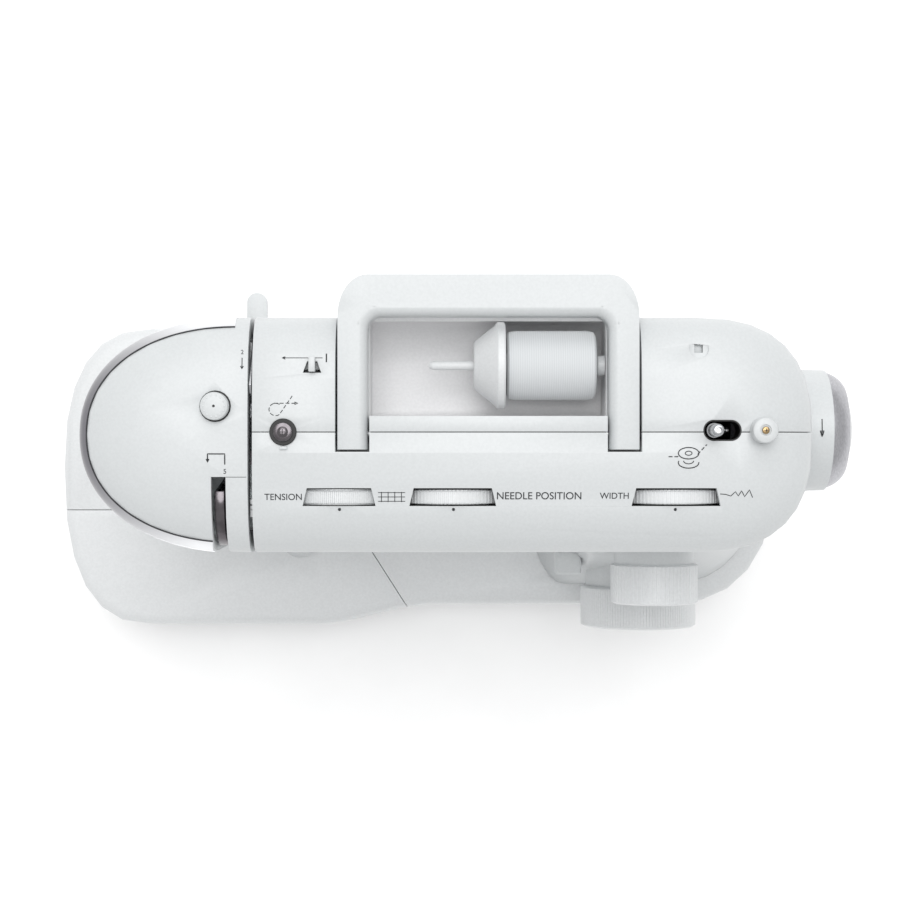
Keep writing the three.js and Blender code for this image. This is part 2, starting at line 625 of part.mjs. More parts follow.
add("main_shaft", "steel", join(
  rod(shaftR, crank.x, 190.8, "x", [0, shaftY, shaftZ], 16),
  rod(crank.r, crank.x - crank.thick, crank.x + 0.5, "x", [0, shaftY, shaftZ], 24),
  rod(pulleyR - run, pulleyX - 4.5, pulleyX + 4.5, "x", [0, shaftY, shaftZ], 24),
  rod(beltPulley.r - run, beltPulley.x - 3.5, beltPulley.x + 3.5, "x", [0, shaftY, shaftZ], 32)));
const hookGearR = 13.6;
const hookPinionR = -hookY + shaftY - hookGearR - 0.6;
add("lower_shaft", "steel", join(
  rod(lowerShaftR, needleX - 6, 102, "x", [0, shaftY, lowerShaftZ], 16),
  rod(pulleyR - run, pulleyX - 4.5, pulleyX + 4.5, "x", [0, shaftY, lowerShaftZ], 24),
  rod(hookGearR, needleX - 4, needleX + 4, "x", [0, shaftY, lowerShaftZ], 28)));

// A belt is the hull of its two pulleys, less the same with the belt's thickness taken off.
function beltLoop(x, width, a, b, thick) {
  const outline = (grow) => {
    const tilt = Math.atan2(b.z - a.z, b.y - a.y);
    const lean = Math.acos((a.r - b.r) / Math.hypot(b.y - a.y, b.z - a.z));
    const s = new THREE.Shape();
    s.absarc(a.y, a.z, a.r + grow, tilt + lean, tilt - lean + 2 * Math.PI, false);
    s.absarc(b.y, b.z, b.r + grow, tilt - lean, tilt + lean, false);
    return s;
  };
  return cut(prism(outline(thick), x - width / 2, x + width / 2, "yz", 8),
    prism(outline(0), x - width, x + width, "yz", 8));
}
add("timing_belt", "rubber", beltLoop(pulleyX, 7,
  { y: shaftY, z: lowerShaftZ, r: pulleyR }, { y: shaftY, z: shaftZ, r: pulleyR }, 1.4));
add("motor_belt", "rubber", beltLoop(beltPulley.x, 5,
  { y: motorPulleyY, z: motorAt.z, r: motorPulleyR }, { y: shaftY, z: shaftZ, r: beltPulley.r }, 1.4));
add("motor", "black_plastic", turned(
  [[0, motorAt.x0], [motorAt.r - 2, motorAt.x0], [motorAt.r, motorAt.x0 + 2], [motorAt.r, motorAt.x1 - 2],
    [motorAt.r - 2, motorAt.x1], [0, motorAt.x1]], "x", [0, motorAt.y, motorAt.z], 28));
add("motor_pulley", "steel", rod(motorPulleyR - run, motorAt.x1 + run, beltPulley.x + 4, "x",
  [0, motorPulleyY, motorAt.z], 20));

// ---- Casting that carries the shafts, bars and motor ----
const bearing = (x, z, r, half) => cut(
  box(x - 4, x + 4, shaftY - half, plateY + 1, z - half, z + half),
  rod(r + run, x - 5, x + 5, "x", [0, shaftY, z], 20));
const castingPlate = prism(polygon([
  [-99, 234], [-99, 163], [-82, 163], [-82, 198], [104, 198], [104, 46], [-58, 46], [-58, 24], [150,
      24], [150, 234],
]), -plateThick, 0, "xz");
const barGuide = (z) => cut(
  box(needleX - 8, needleX + 8, needleY - 7, plateY + 1, z - 4, z + 4),
  rod(needleBarR + run, z - 5, z + 5, "z", [needleX, needleY, 0], 16),
  rod(presserBarR + run, z - 5, z + 5, "z", [needleX, presserY, 0], 16));
const wheelCarrier = [
  box(-48, 121, -2, plateY + 1, 229, 232), box(-48, 121, -2, 1, 229, wheelZ + 3.4),
  ...wheelCentres.map((x) => rod(3, wheelY - wheelThick / 2 - 1, 0, "y", [x, 0, wheelZ], 14)),
];
const motorCradle = cut(
  box(motorAt.x0 + 14, motorAt.x0 + 30, motorAt.y - 8, plateY + 1, motorAt.z - 26, motorAt.z - 8),
  rod(motorAt.r + run, 90, 160, "x", [0, motorAt.y, motorAt.z], 28));
const bearings = [[-52, shaftZ, shaftR, 11], [76, shaftZ, shaftR, 11], [146, shaftZ, shaftR, 11],
  [-44, lowerShaftZ, lowerShaftR, 9], [84, lowerShaftZ, lowerShaftR, 9]];
add("main_casting", "cast_aluminium", join(
  castingPlate.translate([0, plateY + plateThick, 0]),
  ...bearings.map((b) => bearing(...b)), barGuide(230), barGuide(168), motorCradle, ...wheelCarrier));

// ---- Needle bar, presser bar and what they carry ----
const needleTipZ = bedZ + 7.7;
const clampZ = needleTipZ + 30;
add("needle_bar", "steel", rod(needleBarR, clampZ + 9, 264, "z", [needleX, needleY, 0], 16));
add("needle_clamp", "steel", join(
  rod(4.6, clampZ, clampZ + 8.7, "z", [needleX, needleY, 0], 20),
  rod(2.2, 4, 12, "x", [needleX, needleY, clampZ + 4], 12)));
add("needle", "steel", turned([[0, needleTipZ], [0.5, needleTipZ + 5], [0.5, clampZ - 11], [1,
    clampZ - 9.5], [1, clampZ - run], [0, clampZ - run]], "z", [needleX, needleY, 0], 10));
add("presser_bar", "steel", rod(presserBarR, 96, 256, "z", [needleX, presserY, 0], 16));
const springTurns = 7;
const springR = 4.9;
const springLow = 174;
const springHigh = 224;
class Coil extends THREE.Curve {
  getPoint(t, target = new THREE.Vector3()) {
    const a = t * springTurns * 2 * Math.PI;
    return target.set(needleX + springR * Math.cos(a), presserY + springR * Math.sin(a),
      springLow + (springHigh - springLow) * t);
  }
}
const wire = new THREE.Shape();
wire.absarc(0, 0, 0.7, 0, 2 * Math.PI);
add("presser_spring", "steel", toSolid(new THREE.ExtrudeGeometry(wire,
  { steps: springTurns * 9, extrudePath: new Coil(), curveSegments: 3 })));
const footZ = bedZ + 2.3; // the foot's sole, held just clear of the needle plate
const footAxis = { y: needleY + 8.5, z: footZ + 5 };
add("foot_ankle", "steel", cut(
  box(needleX - 4, needleX + 4, needleY + 5.5, presserY + 4.4, footZ + 2.8, 95.6),
  rod(0.8 + run, -6, 6, "x", [needleX, footAxis.y, footAxis.z], 10)));
add("presser_foot", "chrome_trim", cut(
  join(box(needleX - 7, needleX + 7, needleY - 14, needleY + 20, footZ, footZ + 1.8),
    box(needleX - 7, needleX - 4.6, footAxis.y - 3, footAxis.y + 3, footZ + 1, footZ + 8),
    box(needleX + 4.6, needleX + 7, footAxis.y - 3, footAxis.y + 3, footZ + 1, footZ + 8),
    rod(0.8, -5, 5, "x", [needleX, footAxis.y, footAxis.z], 10)),
  prism(roundedRect(needleX - 3.6, needleX + 3.6, needleY - 1.6, needleY + 1.6, 1.4), footZ - 1,
      footZ + 4)));
add("presser_lever", "white_abs", join(
  prism(roundedRect(lever.x - lever.width / 2, lever.x + lever.width / 2, lever.pivotY, lever.tip,
      4.7), lever.z - 2.4, lever.z + 2.4),
  rod(4, lever.x - lever.width / 2, lever.x + lever.width / 2, "x", [0, lever.pivotY, lever.z], 18)));
add("presser_pressure_dial", "white_abs", turned(
  [[0, 264.5], [4, 264.5], [4, 279], [6.5, 279], [6.5, 289.6], [5.7, 290.4], [0, 290.4]], "z",
      [needleX, presserY, 0], 30));

// Take-up lever: swings in its slot about the crank's stud.
const takeUp = { pivotY: 1, pivotZ: 212, thick: 2.2 };
const takeUpArm = polygon([[takeUp.pivotY - 4, 210], [takeUp.pivotY + 4, 210], [takeUp.pivotY + 3, 218],
  [-14, 262], [-20, 276], [-25, 280.5], [-28, 279], [-24, 268], [-20, 256]]);
add("take_up_lever", "steel", prism(takeUpArm, takeUpSlot.x - takeUp.thick / 2,
    takeUpSlot.x + takeUp.thick / 2, "yz"));

// ---- Feed dog, hook and bobbin ----
add("feed_dog", "steel", join(
  box(needleX - 7.5, needleX + 7.5, 18.5, 36, bedZ - 13, bedZ - 9.5),
  ...feedSlots.map((x) => box(x - 1.1, x + 1.1, 21.5, 33, bedZ - 10, bedZ - 0.5))));
const hookZ = bedZ - 17;
add("rotary_hook", "steel", join(
  turned([[0, hookZ], [hookR, hookZ], [hookR, hookZ + 11], [hookR - 1.8, hookZ + 11], [hookR - 1.8,
      hookZ + 2.4],
    [0, hookZ + 2.4]], "z", [needleX, hookY, 0], 24),
  rod(2.5, 26, hookZ + 1, "z", [needleX, hookY, 0], 14),
  rod(hookPinionR, lowerShaftZ - 5, lowerShaftZ + 5, "z", [needleX, hookY, 0], 20)));
add("bobbin_case", "black_plastic", turned(
  [[0, hookZ + 2.8], [12.4, hookZ + 2.8], [12.4, hookZ + 12.6], [11.2, hookZ + 12.6], [11.2,
      hookZ + 4], [0, hookZ + 4]],
  "z", [needleX, hookY, 0], 20));
add("bobbin", "clear_plastic", turned(
  [[3, 0], [bobbinR, 0], [bobbinR, 1], [4, 1], [4, 7.6], [bobbinR, 7.6], [bobbinR, 8.6], [3, 8.6],
      [3, 0]],
  "z", [needleX, hookY, hookZ + 4.4], 18));

// ---- Small pieces on the top ----
add("bobbin_tension_disc", "steel", turned(
  [[0, 277], [2.4, 277], [2.4, armTop + 1.4], [4.6, armTop + 1.4], [4.8, armTop + 2.2], [3.4,
      armTop + 2.9], [0, armTop + 3.1]],
  "z", [tensionX, casingSeamY, 0], 18));
add("winder_spindle", "steel", turned(
  [[0, 272], [3, 272], [3, 282], [2.7, 283], [2.7, 298], [2.1, 300], [0, 300]], "z", [winderX[0],
      winderY, 0], 18));
const stopperX = 147.4;
add("winder_stopper", "white_abs", cut(turned(
  [[0, armTop - 1.2], [5.6, armTop - 1.2], [5.6, armTop + 6.6], [5, armTop + 7.4], [0,
      armTop + 7.4]], "z", [stopperX, winderY, 0], 20), armForm(armUnder, -gap)));
add("stopper_screw", "brass", turned(
  [[0, armTop + 7.7], [2.3, armTop + 7.7], [2.1, armTop + 8.5], [0, armTop + 8.9]], "z", [stopperX,
      winderY, 0], 18));
add("thread_guide", "white_abs", box(guideX - 1.4, guideX + 1.4, guideY - 1, guideY + 5.5, 276.5,
    armTop + 1.6)
  .subtract(join(armForm(armUnder, -gap))).add(box(guideX - 1.4, guideX + 1.4, guideY - 1,
      guideY + 2.6, 276.5, armTop + 1.6)));
const slotGuide = polygon([[58, 262], [61, 266], [38, armTop - 1], [34, armTop - 3]]);
add("thread_slot_guide", "steel", prism(slotGuide, headSeamX - 0.55, headSeamX + 0.55, "yz"));

// ---- Electrical pieces on the right ----
const sideX = armRight - 3;
add("power_inlet", "black_plastic", cut(
  box(sideX - 17, sideX + 3, socket.y - socket.width / 2, socket.y + socket.width / 2,
      socket.z - socket.height / 2, socket.z + socket.height / 2),
  box(sideX - 8, sideX + 6, socket.y - 8, socket.y + 8, socket.z - 5, socket.z + 5)));
add("power_switch", "black_plastic", box(sideX - 12, sideX + 3.5, powerSwitch.y - powerSwitch.width / 2,
  powerSwitch.y + powerSwitch.width / 2, powerSwitch.z - powerSwitch.height / 2,
      powerSwitch.z + powerSwitch.height / 2));
add("sewing_lamp", "clear_plastic", turned(
  [[0, 164], [4, 164.6], [6, 168], [6, 184], [0, 184]], "z", [-118, 22, 0], 20));

export default machine;
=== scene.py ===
import math

import bpy
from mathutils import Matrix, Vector


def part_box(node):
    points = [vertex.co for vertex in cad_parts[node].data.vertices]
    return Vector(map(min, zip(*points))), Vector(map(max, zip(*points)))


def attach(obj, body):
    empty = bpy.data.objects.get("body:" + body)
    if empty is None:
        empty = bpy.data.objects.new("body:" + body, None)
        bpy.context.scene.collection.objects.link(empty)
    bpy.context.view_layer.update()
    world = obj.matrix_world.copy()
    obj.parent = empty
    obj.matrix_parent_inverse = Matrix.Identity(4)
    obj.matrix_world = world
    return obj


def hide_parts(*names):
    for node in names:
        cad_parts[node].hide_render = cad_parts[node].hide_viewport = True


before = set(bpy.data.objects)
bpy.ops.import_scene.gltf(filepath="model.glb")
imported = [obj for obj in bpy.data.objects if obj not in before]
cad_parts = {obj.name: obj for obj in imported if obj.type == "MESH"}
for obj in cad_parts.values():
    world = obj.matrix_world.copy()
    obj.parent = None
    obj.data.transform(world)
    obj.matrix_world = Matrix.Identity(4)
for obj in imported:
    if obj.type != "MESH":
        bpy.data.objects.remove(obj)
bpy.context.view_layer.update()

# ---- Camera and light ----
# The camera hangs 1.1 m over the table and looks straight down, slightly right of the middle and behind it.
# A broad soft light stands behind the machine, a wide soft sun shines from overhead, and a white room
# lights the rest.
camera_data = bpy.data.cameras.new("camera")
camera_data.lens = 75.1
camera_data.sensor_width = 36
camera = bpy.data.objects.new("camera", camera_data)
camera.location = (0.0115, 0.0095, 1.1)
bpy.context.collection.objects.link(camera)
bpy.context.scene.camera = camera
bpy.context.scene.view_settings.view_transform = "Standard"

back_data = bpy.data.lights.new("back_light", "AREA")
back_data.size = 1.4
back_data.energy = 6
back_light = bpy.data.objects.new("back_light", back_data)
back_light.location = (0.0, 1.1, 1.3)
back_light.rotation_euler = (Vector((0, 0, 0.1)) - back_light.location).to_track_quat("-Z", "Y").to_euler()
bpy.context.collection.objects.link(back_light)
overhead_data = bpy.data.lights.new("overhead_light", "SUN")
overhead_data.energy = 1.3
overhead_data.angle = math.radians(38)
overhead = bpy.data.objects.new("overhead_light", overhead_data)
overhead.rotation_euler = (math.radians(-13), 0, 0)
bpy.context.collection.objects.link(overhead)
world = bpy.data.worlds.new("white_room")
bpy.context.scene.world = world
world.use_nodes = True
world.node_tree.nodes["Background"].inputs["Color"].default_value = (1, 1, 1, 1)
world.node_tree.nodes["Background"].inputs["Strength"].default_value = 0.74


# ---- Table ----
# A plain pale table top of matt laminate. It is far wider than the machine, so that its edge stays out of
# view. Its grain is only just darker than its ground.
def linear(colour):
    """An sRGB hex colour as the linear values that a shader takes."""
    parts = [int(colour[i:i + 2], 16) / 255 for i in (0, 2, 4)]
    return [c / 12.92 if c <= 0.04045 else ((c + 0.055) / 1.055) ** 2.4 for c in parts] + [1]


def add_node(material, kind, settings=(), links=()):
    """Adds one shader node. A setting is a socket or a property; a link is (socket, node, its output)."""
    node = material.node_tree.nodes.new(kind)
    for name, value in dict(settings).items():
        if name in node.inputs:
            node.inputs[name].default_value = value
        else:
            setattr(node, name, value)
    for socket, source, output in links:
        material.node_tree.links.new(source.outputs[output], node.inputs[socket])
    return node


def surface(name, colour, roughness, metallic=0.0, **sockets):
    """A new material with its shader's own sockets set, and the Object coordinates that its pattern reads."""
    material = bpy.data.materials.new(name)
    material.use_nodes = True
    shader = material.node_tree.nodes["Principled BSDF"]
    shader.inputs["Base Color"].default_value = linear(colour)
    shader.inputs["Roughness"].default_value = roughness
    shader.inputs["Metallic"].default_value = metallic
    for socket, value in sockets.items():
        shader.inputs[socket.replace("_", " ")].default_value = value
    return material, shader, add_node(material, "ShaderNodeTexCoord")


def speckle(material, shader, place, grain_mm, light, dark, depth_mm, stretch=(1, 1, 1)):
    """Two close tones and a fine relief, both from noise of the grain's real size."""
    size = add_node(material, "ShaderNodeMapping", {"Scale": stretch}, [("Vector", place, "Object")])
    noise = add_node(material, "ShaderNodeTexNoise", {"Scale": 1000 / grain_mm, "Detail": 3.0},
                     [("Vector", size, "Vector")])
    tone = add_node(material, "ShaderNodeValToRGB", (), [("Fac", noise, "Fac")])
    tone.color_ramp.elements[0].position = 0.35
    tone.color_ramp.elements[1].position = 0.65
    tone.color_ramp.elements[0].color = linear(dark)
    tone.color_ramp.elements[1].color = linear(light)
    material.node_tree.links.new(tone.outputs["Color"], shader.inputs["Base Color"])
    relief = add_node(material, "ShaderNodeBump", {"Strength": 0.35, "Distance": depth_mm / 1000},
                      [("Height", noise, "Fac")])
    material.node_tree.links.new(relief.outputs["Normal"], shader.inputs["Normal"])
    return material


def only(piece):
    """Picks one piece and nothing else, because an operator acts on all that is picked."""
    bpy.ops.object.select_all(action="DESELECT")
    piece.select_set(True)
    bpy.context.view_layer.objects.active = piece


def dress(piece, name, body, slot, material, *nodes):
    """Names a finished piece, puts its place into its mesh, and ties it to its body and CAD nodes. The slot
    argument is not used.
    """
    only(piece)
    bpy.ops.object.transform_apply(location=True, rotation=True, scale=True)
    piece.name = name
    piece.data.materials.clear()
    piece.data.materials.append(material)
    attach(piece, body)
    if nodes:
        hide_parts(*nodes)
    return piece


bpy.ops.object.select_all(action="DESELECT")
bpy.ops.mesh.primitive_plane_add(size=40, location=(0, 0, -0.0005))
table = bpy.context.object
table.name = "table_top"
laminate, table_shader, table_place = surface("pale_laminate", "FDFDFD", 0.9)
table.data.materials.append(speckle(laminate, table_shader, table_place, 40, "FEFEFE", "FCFCFC", 0.01))


# ---- Casings ----
# Front and rear half-shells and the face cover, injection moulded in white ABS with a satin spark-eroded
# finish, which gives soft broad highlights. Small moulded radii break their edges.
white_abs, abs_shader, abs_place = surface("satin_white_abs", "C9CCCD", 0.36, IOR=1.53)
# The moulded grain is about 0.3 mm; it is drawn at 1.2 mm so that it shows.
speckle(white_abs, abs_shader, abs_place, 1.2, "CACDCE", "C6C9CA", 0.015)


def moulded_copy(node, radius_mm, segments=2, angle=38):
    """A copy of a CAD node's mesh with clean faces, rounded edges and smooth shading."""
    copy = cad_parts[node].copy()
    copy.data = copy.data.copy()
    copy.parent = None
    bpy.context.collection.objects.link(copy)
    only(copy)
    bpy.ops.object.mode_set(mode="EDIT")
    bpy.ops.mesh.select_all(action="SELECT")
    bpy.ops.mesh.remove_doubles(threshold=0.00002)
    bpy.ops.mesh.dissolve_limited(angle_limit=math.radians(1.5))
    bpy.ops.object.mode_set(mode="OBJECT")
    if radius_mm:
        bevel = copy.modifiers.new("moulded_radius", "BEVEL")
        bevel.width = radius_mm / 1000
        bevel.segments = segments
        bevel.limit_method = "ANGLE"
        bevel.angle_limit = math.radians(angle)
        bevel.miter_outer = "MITER_ARC" if segments > 3 else "MITER_SHARP"
        bpy.ops.object.modifier_apply(modifier="moulded_radius")
    bpy.ops.object.shade_smooth_by_angle(angle=math.radians(35))
    return copy


def moulded(names, body, slot, material, radius_mm, segments=2):
    """Makes a finished copy of each CAD node named, which stands for that node."""
    for node in names:
        dress(moulded_copy(node, radius_mm, segments), node + "_shell", body, slot, material, node)


moulded(["front_casing", "rear_casing", "face_cover"], "body", "white_abs", white_abs, 0.3)

# The faces inside the spool bay are drawn in a slightly brighter white than the rest of the casing: painted
# light, standing in for the overhead light that reaches the bay's floor.
bay_painted_light, bay_shader, bay_place = surface("painted_light_bay_white", "DEDEDF", 0.4, IOR=1.53)
speckle(bay_painted_light, bay_shader, bay_place, 1.2, "E0E0E1", "DBDBDC", 0.015)
bay_low, bay_high = Vector((-25, 24, 236)), Vector((82, 68, 277))        # in millimetres
rear_shell = bpy.data.objects["rear_casing_shell"]
rear_shell.data.materials.append(bay_painted_light)
for face in rear_shell.data.polygons:
    if all(low < at < high for low, at, high in zip(bay_low, face.center * 1000, bay_high)):
        face.material_index = 1

# ---- Base, free arm and accessory tray ----
# The base, the hollow free arm and the tray that wraps it are white ABS mouldings, and the base is closed
# underneath by a flat plate. The tray's lid is a separate shallow moulding with a thumb recess.
# This white is the casing's white made lighter: painted light, standing in for the light that falls on the
# base, tray, lid, spool cap and pin, and the wheels and dials.
lit_white_abs, pale_shader, pale_place = surface("painted_light_white_abs", "D6D8D9", 0.4, IOR=1.53)
speckle(lit_white_abs, pale_shader, pale_place, 1.2, "D8DADB", "D3D5D6", 0.015)
moulded(["base_casing", "free_arm_casing", "bottom_plate"], "body", "white_abs", lit_white_abs, 0.3)
moulded(["accessory_tray"], "accessory_tray", "white_abs", lit_white_abs, 0.3)
moulded(["tray_lid"], "tray_lid", "white_abs", lit_white_abs, 0.3)

# ---- Rubber feet ----
# Four black pads of moulded rubber, pressed into the underside. The rubber is nearly black and has almost
# no shine.
rubber, rubber_shader, rubber_place = surface("moulded_black_rubber", "1E1E1E", 0.85, IOR=1.52)
speckle(rubber, rubber_shader, rubber_place, 0.8, "232323", "191919", 0.03)
moulded([f"rubber_foot_{i}" for i in (1, 2, 3, 4)], "body", "rubber", rubber, 0.8, 3)

# ---- Trim band ----
# A satin-plated ABS strip let into a groove round the nose. The plating is brushed along its length. Its long
# soft streak, from dark at the nose to light at both ends, is a painted reflection, set in its colour by
# place along the band.
plated_trim, trim_shader, trim_place = surface("satin_plated_trim", "7E7D82", 0.3, 1.0)
speckle(plated_trim, trim_shader, trim_place, 2.5, "8B8A8F", "6C6B70", 0.01, (1, 1, 6))
moulded(["face_trim"], "body", "chrome_trim", plated_trim, 0.2)
head_low, head_high = (corner * 1000 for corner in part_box("face_cover"))
# The nose's outline and its crown are both superellipses. Lengths are in millimetres.
nose_depth, outline_power = 71, 2.15
crown_depth, crown_height, crown_power = 44, 22, 2.6


def crown_point(turn, inset, proud):
    """A place on the crowned nose, in metres, at a turn round its outline and an inset from its edge."""
    across = abs(math.cos(turn)) ** (2 / outline_power)
    along = math.copysign(abs(math.sin(turn)) ** (2 / outline_power), math.sin(turn))
    half = (head_high.y - head_low.y) / 2 - inset
    share = max(0, inset) / crown_depth
    rise = (1 - (1 - share) ** crown_power) ** (1 / crown_power)
    return Vector((head_low.x + nose_depth - across * (nose_depth - inset),
                   (head_high.y + head_low.y) / 2 + along * half,
                   head_high.z - crown_height * (1 - rise) + proud)) / 1000


def nose_strip(name, insets, proud, material, slot, thick):
    """A strip laid round the nose: a grid whose rows follow the outline at the given insets."""
    bpy.ops.object.select_all(action="DESELECT")
    steps = 96
    bpy.ops.mesh.primitive_grid_add(x_subdivisions=steps, y_subdivisions=len(insets) - 1, size=1)
    strip = bpy.context.object
    first_turn, last_turn = math.radians(-82), math.radians(89.5)
    for i, vertex in enumerate(strip.data.vertices):
        turn = first_turn + (last_turn - first_turn) * (i % (steps + 1)) / steps
        vertex.co = crown_point(turn, insets[i // (steps + 1)], proud)
    only(strip)
    bpy.ops.object.mode_set(mode="EDIT")
    bpy.ops.mesh.select_all(action="SELECT")
    bpy.ops.mesh.normals_make_consistent(inside=False)
    bpy.ops.object.mode_set(mode="OBJECT")
    if sum(face.normal.z for face in strip.data.polygons) < 0:
        strip.data.flip_normals()
    wall = strip.modifiers.new("wall", "SOLIDIFY")
    wall.thickness = thick / 1000
    wall.offset = -1
    bpy.ops.object.modifier_apply(modifier="wall")
    bpy.ops.object.shade_smooth_by_angle(angle=math.radians(40))
    dress(strip, name, "body", slot, material)


# Painted reflection: the plating's colour is darkest at the nose and pales towards both ends.
along_arm = add_node(plated_trim, "ShaderNodeSeparateXYZ", (), [("Vector", trim_place, "Object")])
painted_reflection_fade = add_node(plated_trim, "ShaderNodeMapRange", {"From Min": -0.150, "From Max": -0.100},
                [("Value", along_arm, "X")])
painted_reflection_tone = add_node(plated_trim, "ShaderNodeValToRGB", (), [("Fac", painted_reflection_fade, "Result")])
painted_reflection_tone.color_ramp.elements[0].color = linear("6E6D72")
painted_reflection_tone.color_ramp.elements[1].color = linear("E9EAEC")
plated_trim.node_tree.links.new(painted_reflection_tone.outputs["Color"], trim_shader.inputs["Base Color"])
band_insets = (-0.3, -0.15, 0.1, 0.4, 0.9, 1.7, 2.6, 3.6, 4.6)
nose_strip("nose_band", band_insets, 0.25, plated_trim, "chrome_trim", 0.5)
# A thin dark line runs along the band's upper edge.
dark_line, line_shader, line_place = surface("dark_groove_line", "2A2A2E", 0.5, IOR=1.5)
speckle(dark_line, line_shader, line_place, 1, "303034", "242428", 0.01)
nose_strip("nose_band_groove", (band_insets[-1], 4.8, 5.0), 0.22, dark_line, "black_plastic", 0.4)


# ---- Carry handle ----
# One thick white ABS moulding shaped like a U, hinged on a steel rod at the ends of its two legs. It lies
# flat in two channels. Its corners and all its edges are well rounded for the hand.
def pick_faces(piece, test):
    """In edit mode on return, with just the faces picked whose centre and normal pass the test."""
    only(piece)
    for face in piece.data.polygons:
        face.select = False
    for edge in piece.data.edges:
        edge.select = False
    for vertex in piece.data.vertices:
        vertex.select = False
    for face in piece.data.polygons:
        face.select = bool(test(face.center, face.normal))
    bpy.ops.object.mode_set(mode="EDIT")
    bpy.ops.mesh.select_mode(type="FACE")


def round_edges(piece, test, radius, segments):
    """Bevels the edges whose two ends pass the test."""
    only(piece)
    points = piece.data.vertices
    for item in (*piece.data.polygons, *piece.data.edges, *points):
        item.select = False
    bpy.ops.object.mode_set(mode="EDIT")
    bpy.ops.mesh.select_mode(type="EDGE")
    bpy.ops.object.mode_set(mode="OBJECT")
    for edge in piece.data.edges:
        edge.select = bool(test(*(points[i].co for i in edge.vertices)))
    bpy.ops.object.mode_set(mode="EDIT")
    bpy.ops.mesh.bevel(offset=radius, segments=segments, affect="EDGES")
    bpy.ops.object.mode_set(mode="OBJECT")


def block(low, high):
    """A cube primitive stretched between two corners, with its place in its mesh."""
    bpy.ops.object.select_all(action="DESELECT")
    middle = [(a + b) / 2 for a, b in zip(low, high)]
    bpy.ops.mesh.primitive_cube_add(size=1, location=middle, scale=[b - a for a, b in zip(low, high)])
    bpy.ops.object.transform_apply(location=True, rotation=True, scale=True)
    return bpy.context.object


def cut_across(piece, place, normal):
    """Adds a ring of edges where a plane crosses the piece."""
    only(piece)
    bpy.ops.object.mode_set(mode="EDIT")
    bpy.ops.mesh.select_all(action="SELECT")
    bpy.ops.mesh.bisect(plane_co=place, plane_no=normal)
    bpy.ops.object.mode_set(mode="OBJECT")


def rounded(piece, radius, segments=3, angle=50):
    """Bevels every sharp edge, then shades the piece smooth."""
    only(piece)
    bevel = piece.modifiers.new("rounded", "BEVEL")
    bevel.width = radius
    bevel.segments = segments
    bevel.limit_method = "ANGLE"
    bevel.angle_limit = math.radians(angle)
    bpy.ops.object.modifier_apply(modifier="rounded")
    bpy.ops.object.shade_smooth_by_angle(angle=math.radians(35))
    return piece


handle_low, handle_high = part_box("carry_handle")
leg_width = 0.013
grip_depth = 0.018
handle = block(handle_low, (handle_low.x + leg_width, handle_high.y, handle_high.z))
cut_across(handle, (0, handle_high.y - grip_depth, 0), (0, 1, 0))
pick_faces(handle, lambda c, n: n.x > 0.9 and c.y > handle_high.y - grip_depth)
bpy.ops.mesh.extrude_region_move(
    TRANSFORM_OT_translate={"value": (handle_high.x - handle_low.x - leg_width, 0, 0)})
bpy.ops.object.mode_set(mode="OBJECT")
cut_across(handle, (handle_high.x - leg_width, 0, 0), (1, 0, 0))
pick_faces(handle, lambda c, n: n.y < -0.9 and c.x > handle_high.x - leg_width)
bpy.ops.mesh.extrude_region_move(
    TRANSFORM_OT_translate={"value": (0, handle_low.y - handle_high.y + grip_depth, 0)})
bpy.ops.object.mode_set(mode="OBJECT")
near, corner_radius, inner_radius = 0.001, 0.018, 0.006


def upright(a, b, least=0.01):
    """Whether an edge's two ends are far enough apart in height for it to be an upright one."""
    return abs(a.z - b.z) > least


def on_inner_rim(p):
    """Whether a corner lies on the upper rim of the handle's opening."""
    return (handle_low.x + leg_width - near < p.x < handle_high.x - leg_width + near
            and p.y < handle_high.y - grip_depth + near and p.z > handle_high.z - near / 2)


round_edges(handle, lambda a, b: upright(a, b) and a.y > handle_high.y - near
            and (a.x < handle_low.x + near or a.x > handle_high.x - near), corner_radius, 10)
round_edges(handle, lambda a, b: upright(a, b) and abs(a.y - handle_high.y + grip_depth) < near
            and handle_low.x + leg_width / 2 < a.x < handle_high.x - leg_width / 2, inner_radius, 6)
# The legs' ends are rounded underneath, where they turn on the rod, and then the opening's upper rim.
round_edges(handle, lambda a, b: a.y < handle_low.y + near and b.y < handle_low.y + near
            and a.z < handle_low.z + near and b.z < handle_low.z + near, 0.0062, 5)
round_edges(handle, lambda a, b: on_inner_rim(a) and on_inner_rim(b), 0.0042, 7)
rounded(handle, 0.0028, 5)
dress(handle, "carry_handle_grip", "carry_handle", "white_abs", white_abs, "carry_handle")

# The hinge rod is bright drawn steel: fine lines along it give a narrow, slightly broken highlight.
steel, steel_shader, steel_place = surface("ground_bright_steel", "B4B5B7", 0.24, 1.0)
speckle(steel, steel_shader, steel_place, 0.9, "BDBEC0", "A6A7AA", 0.006, (1, 1, 5))
moulded(["handle_rod"], "body", "steel", steel, 0.2)


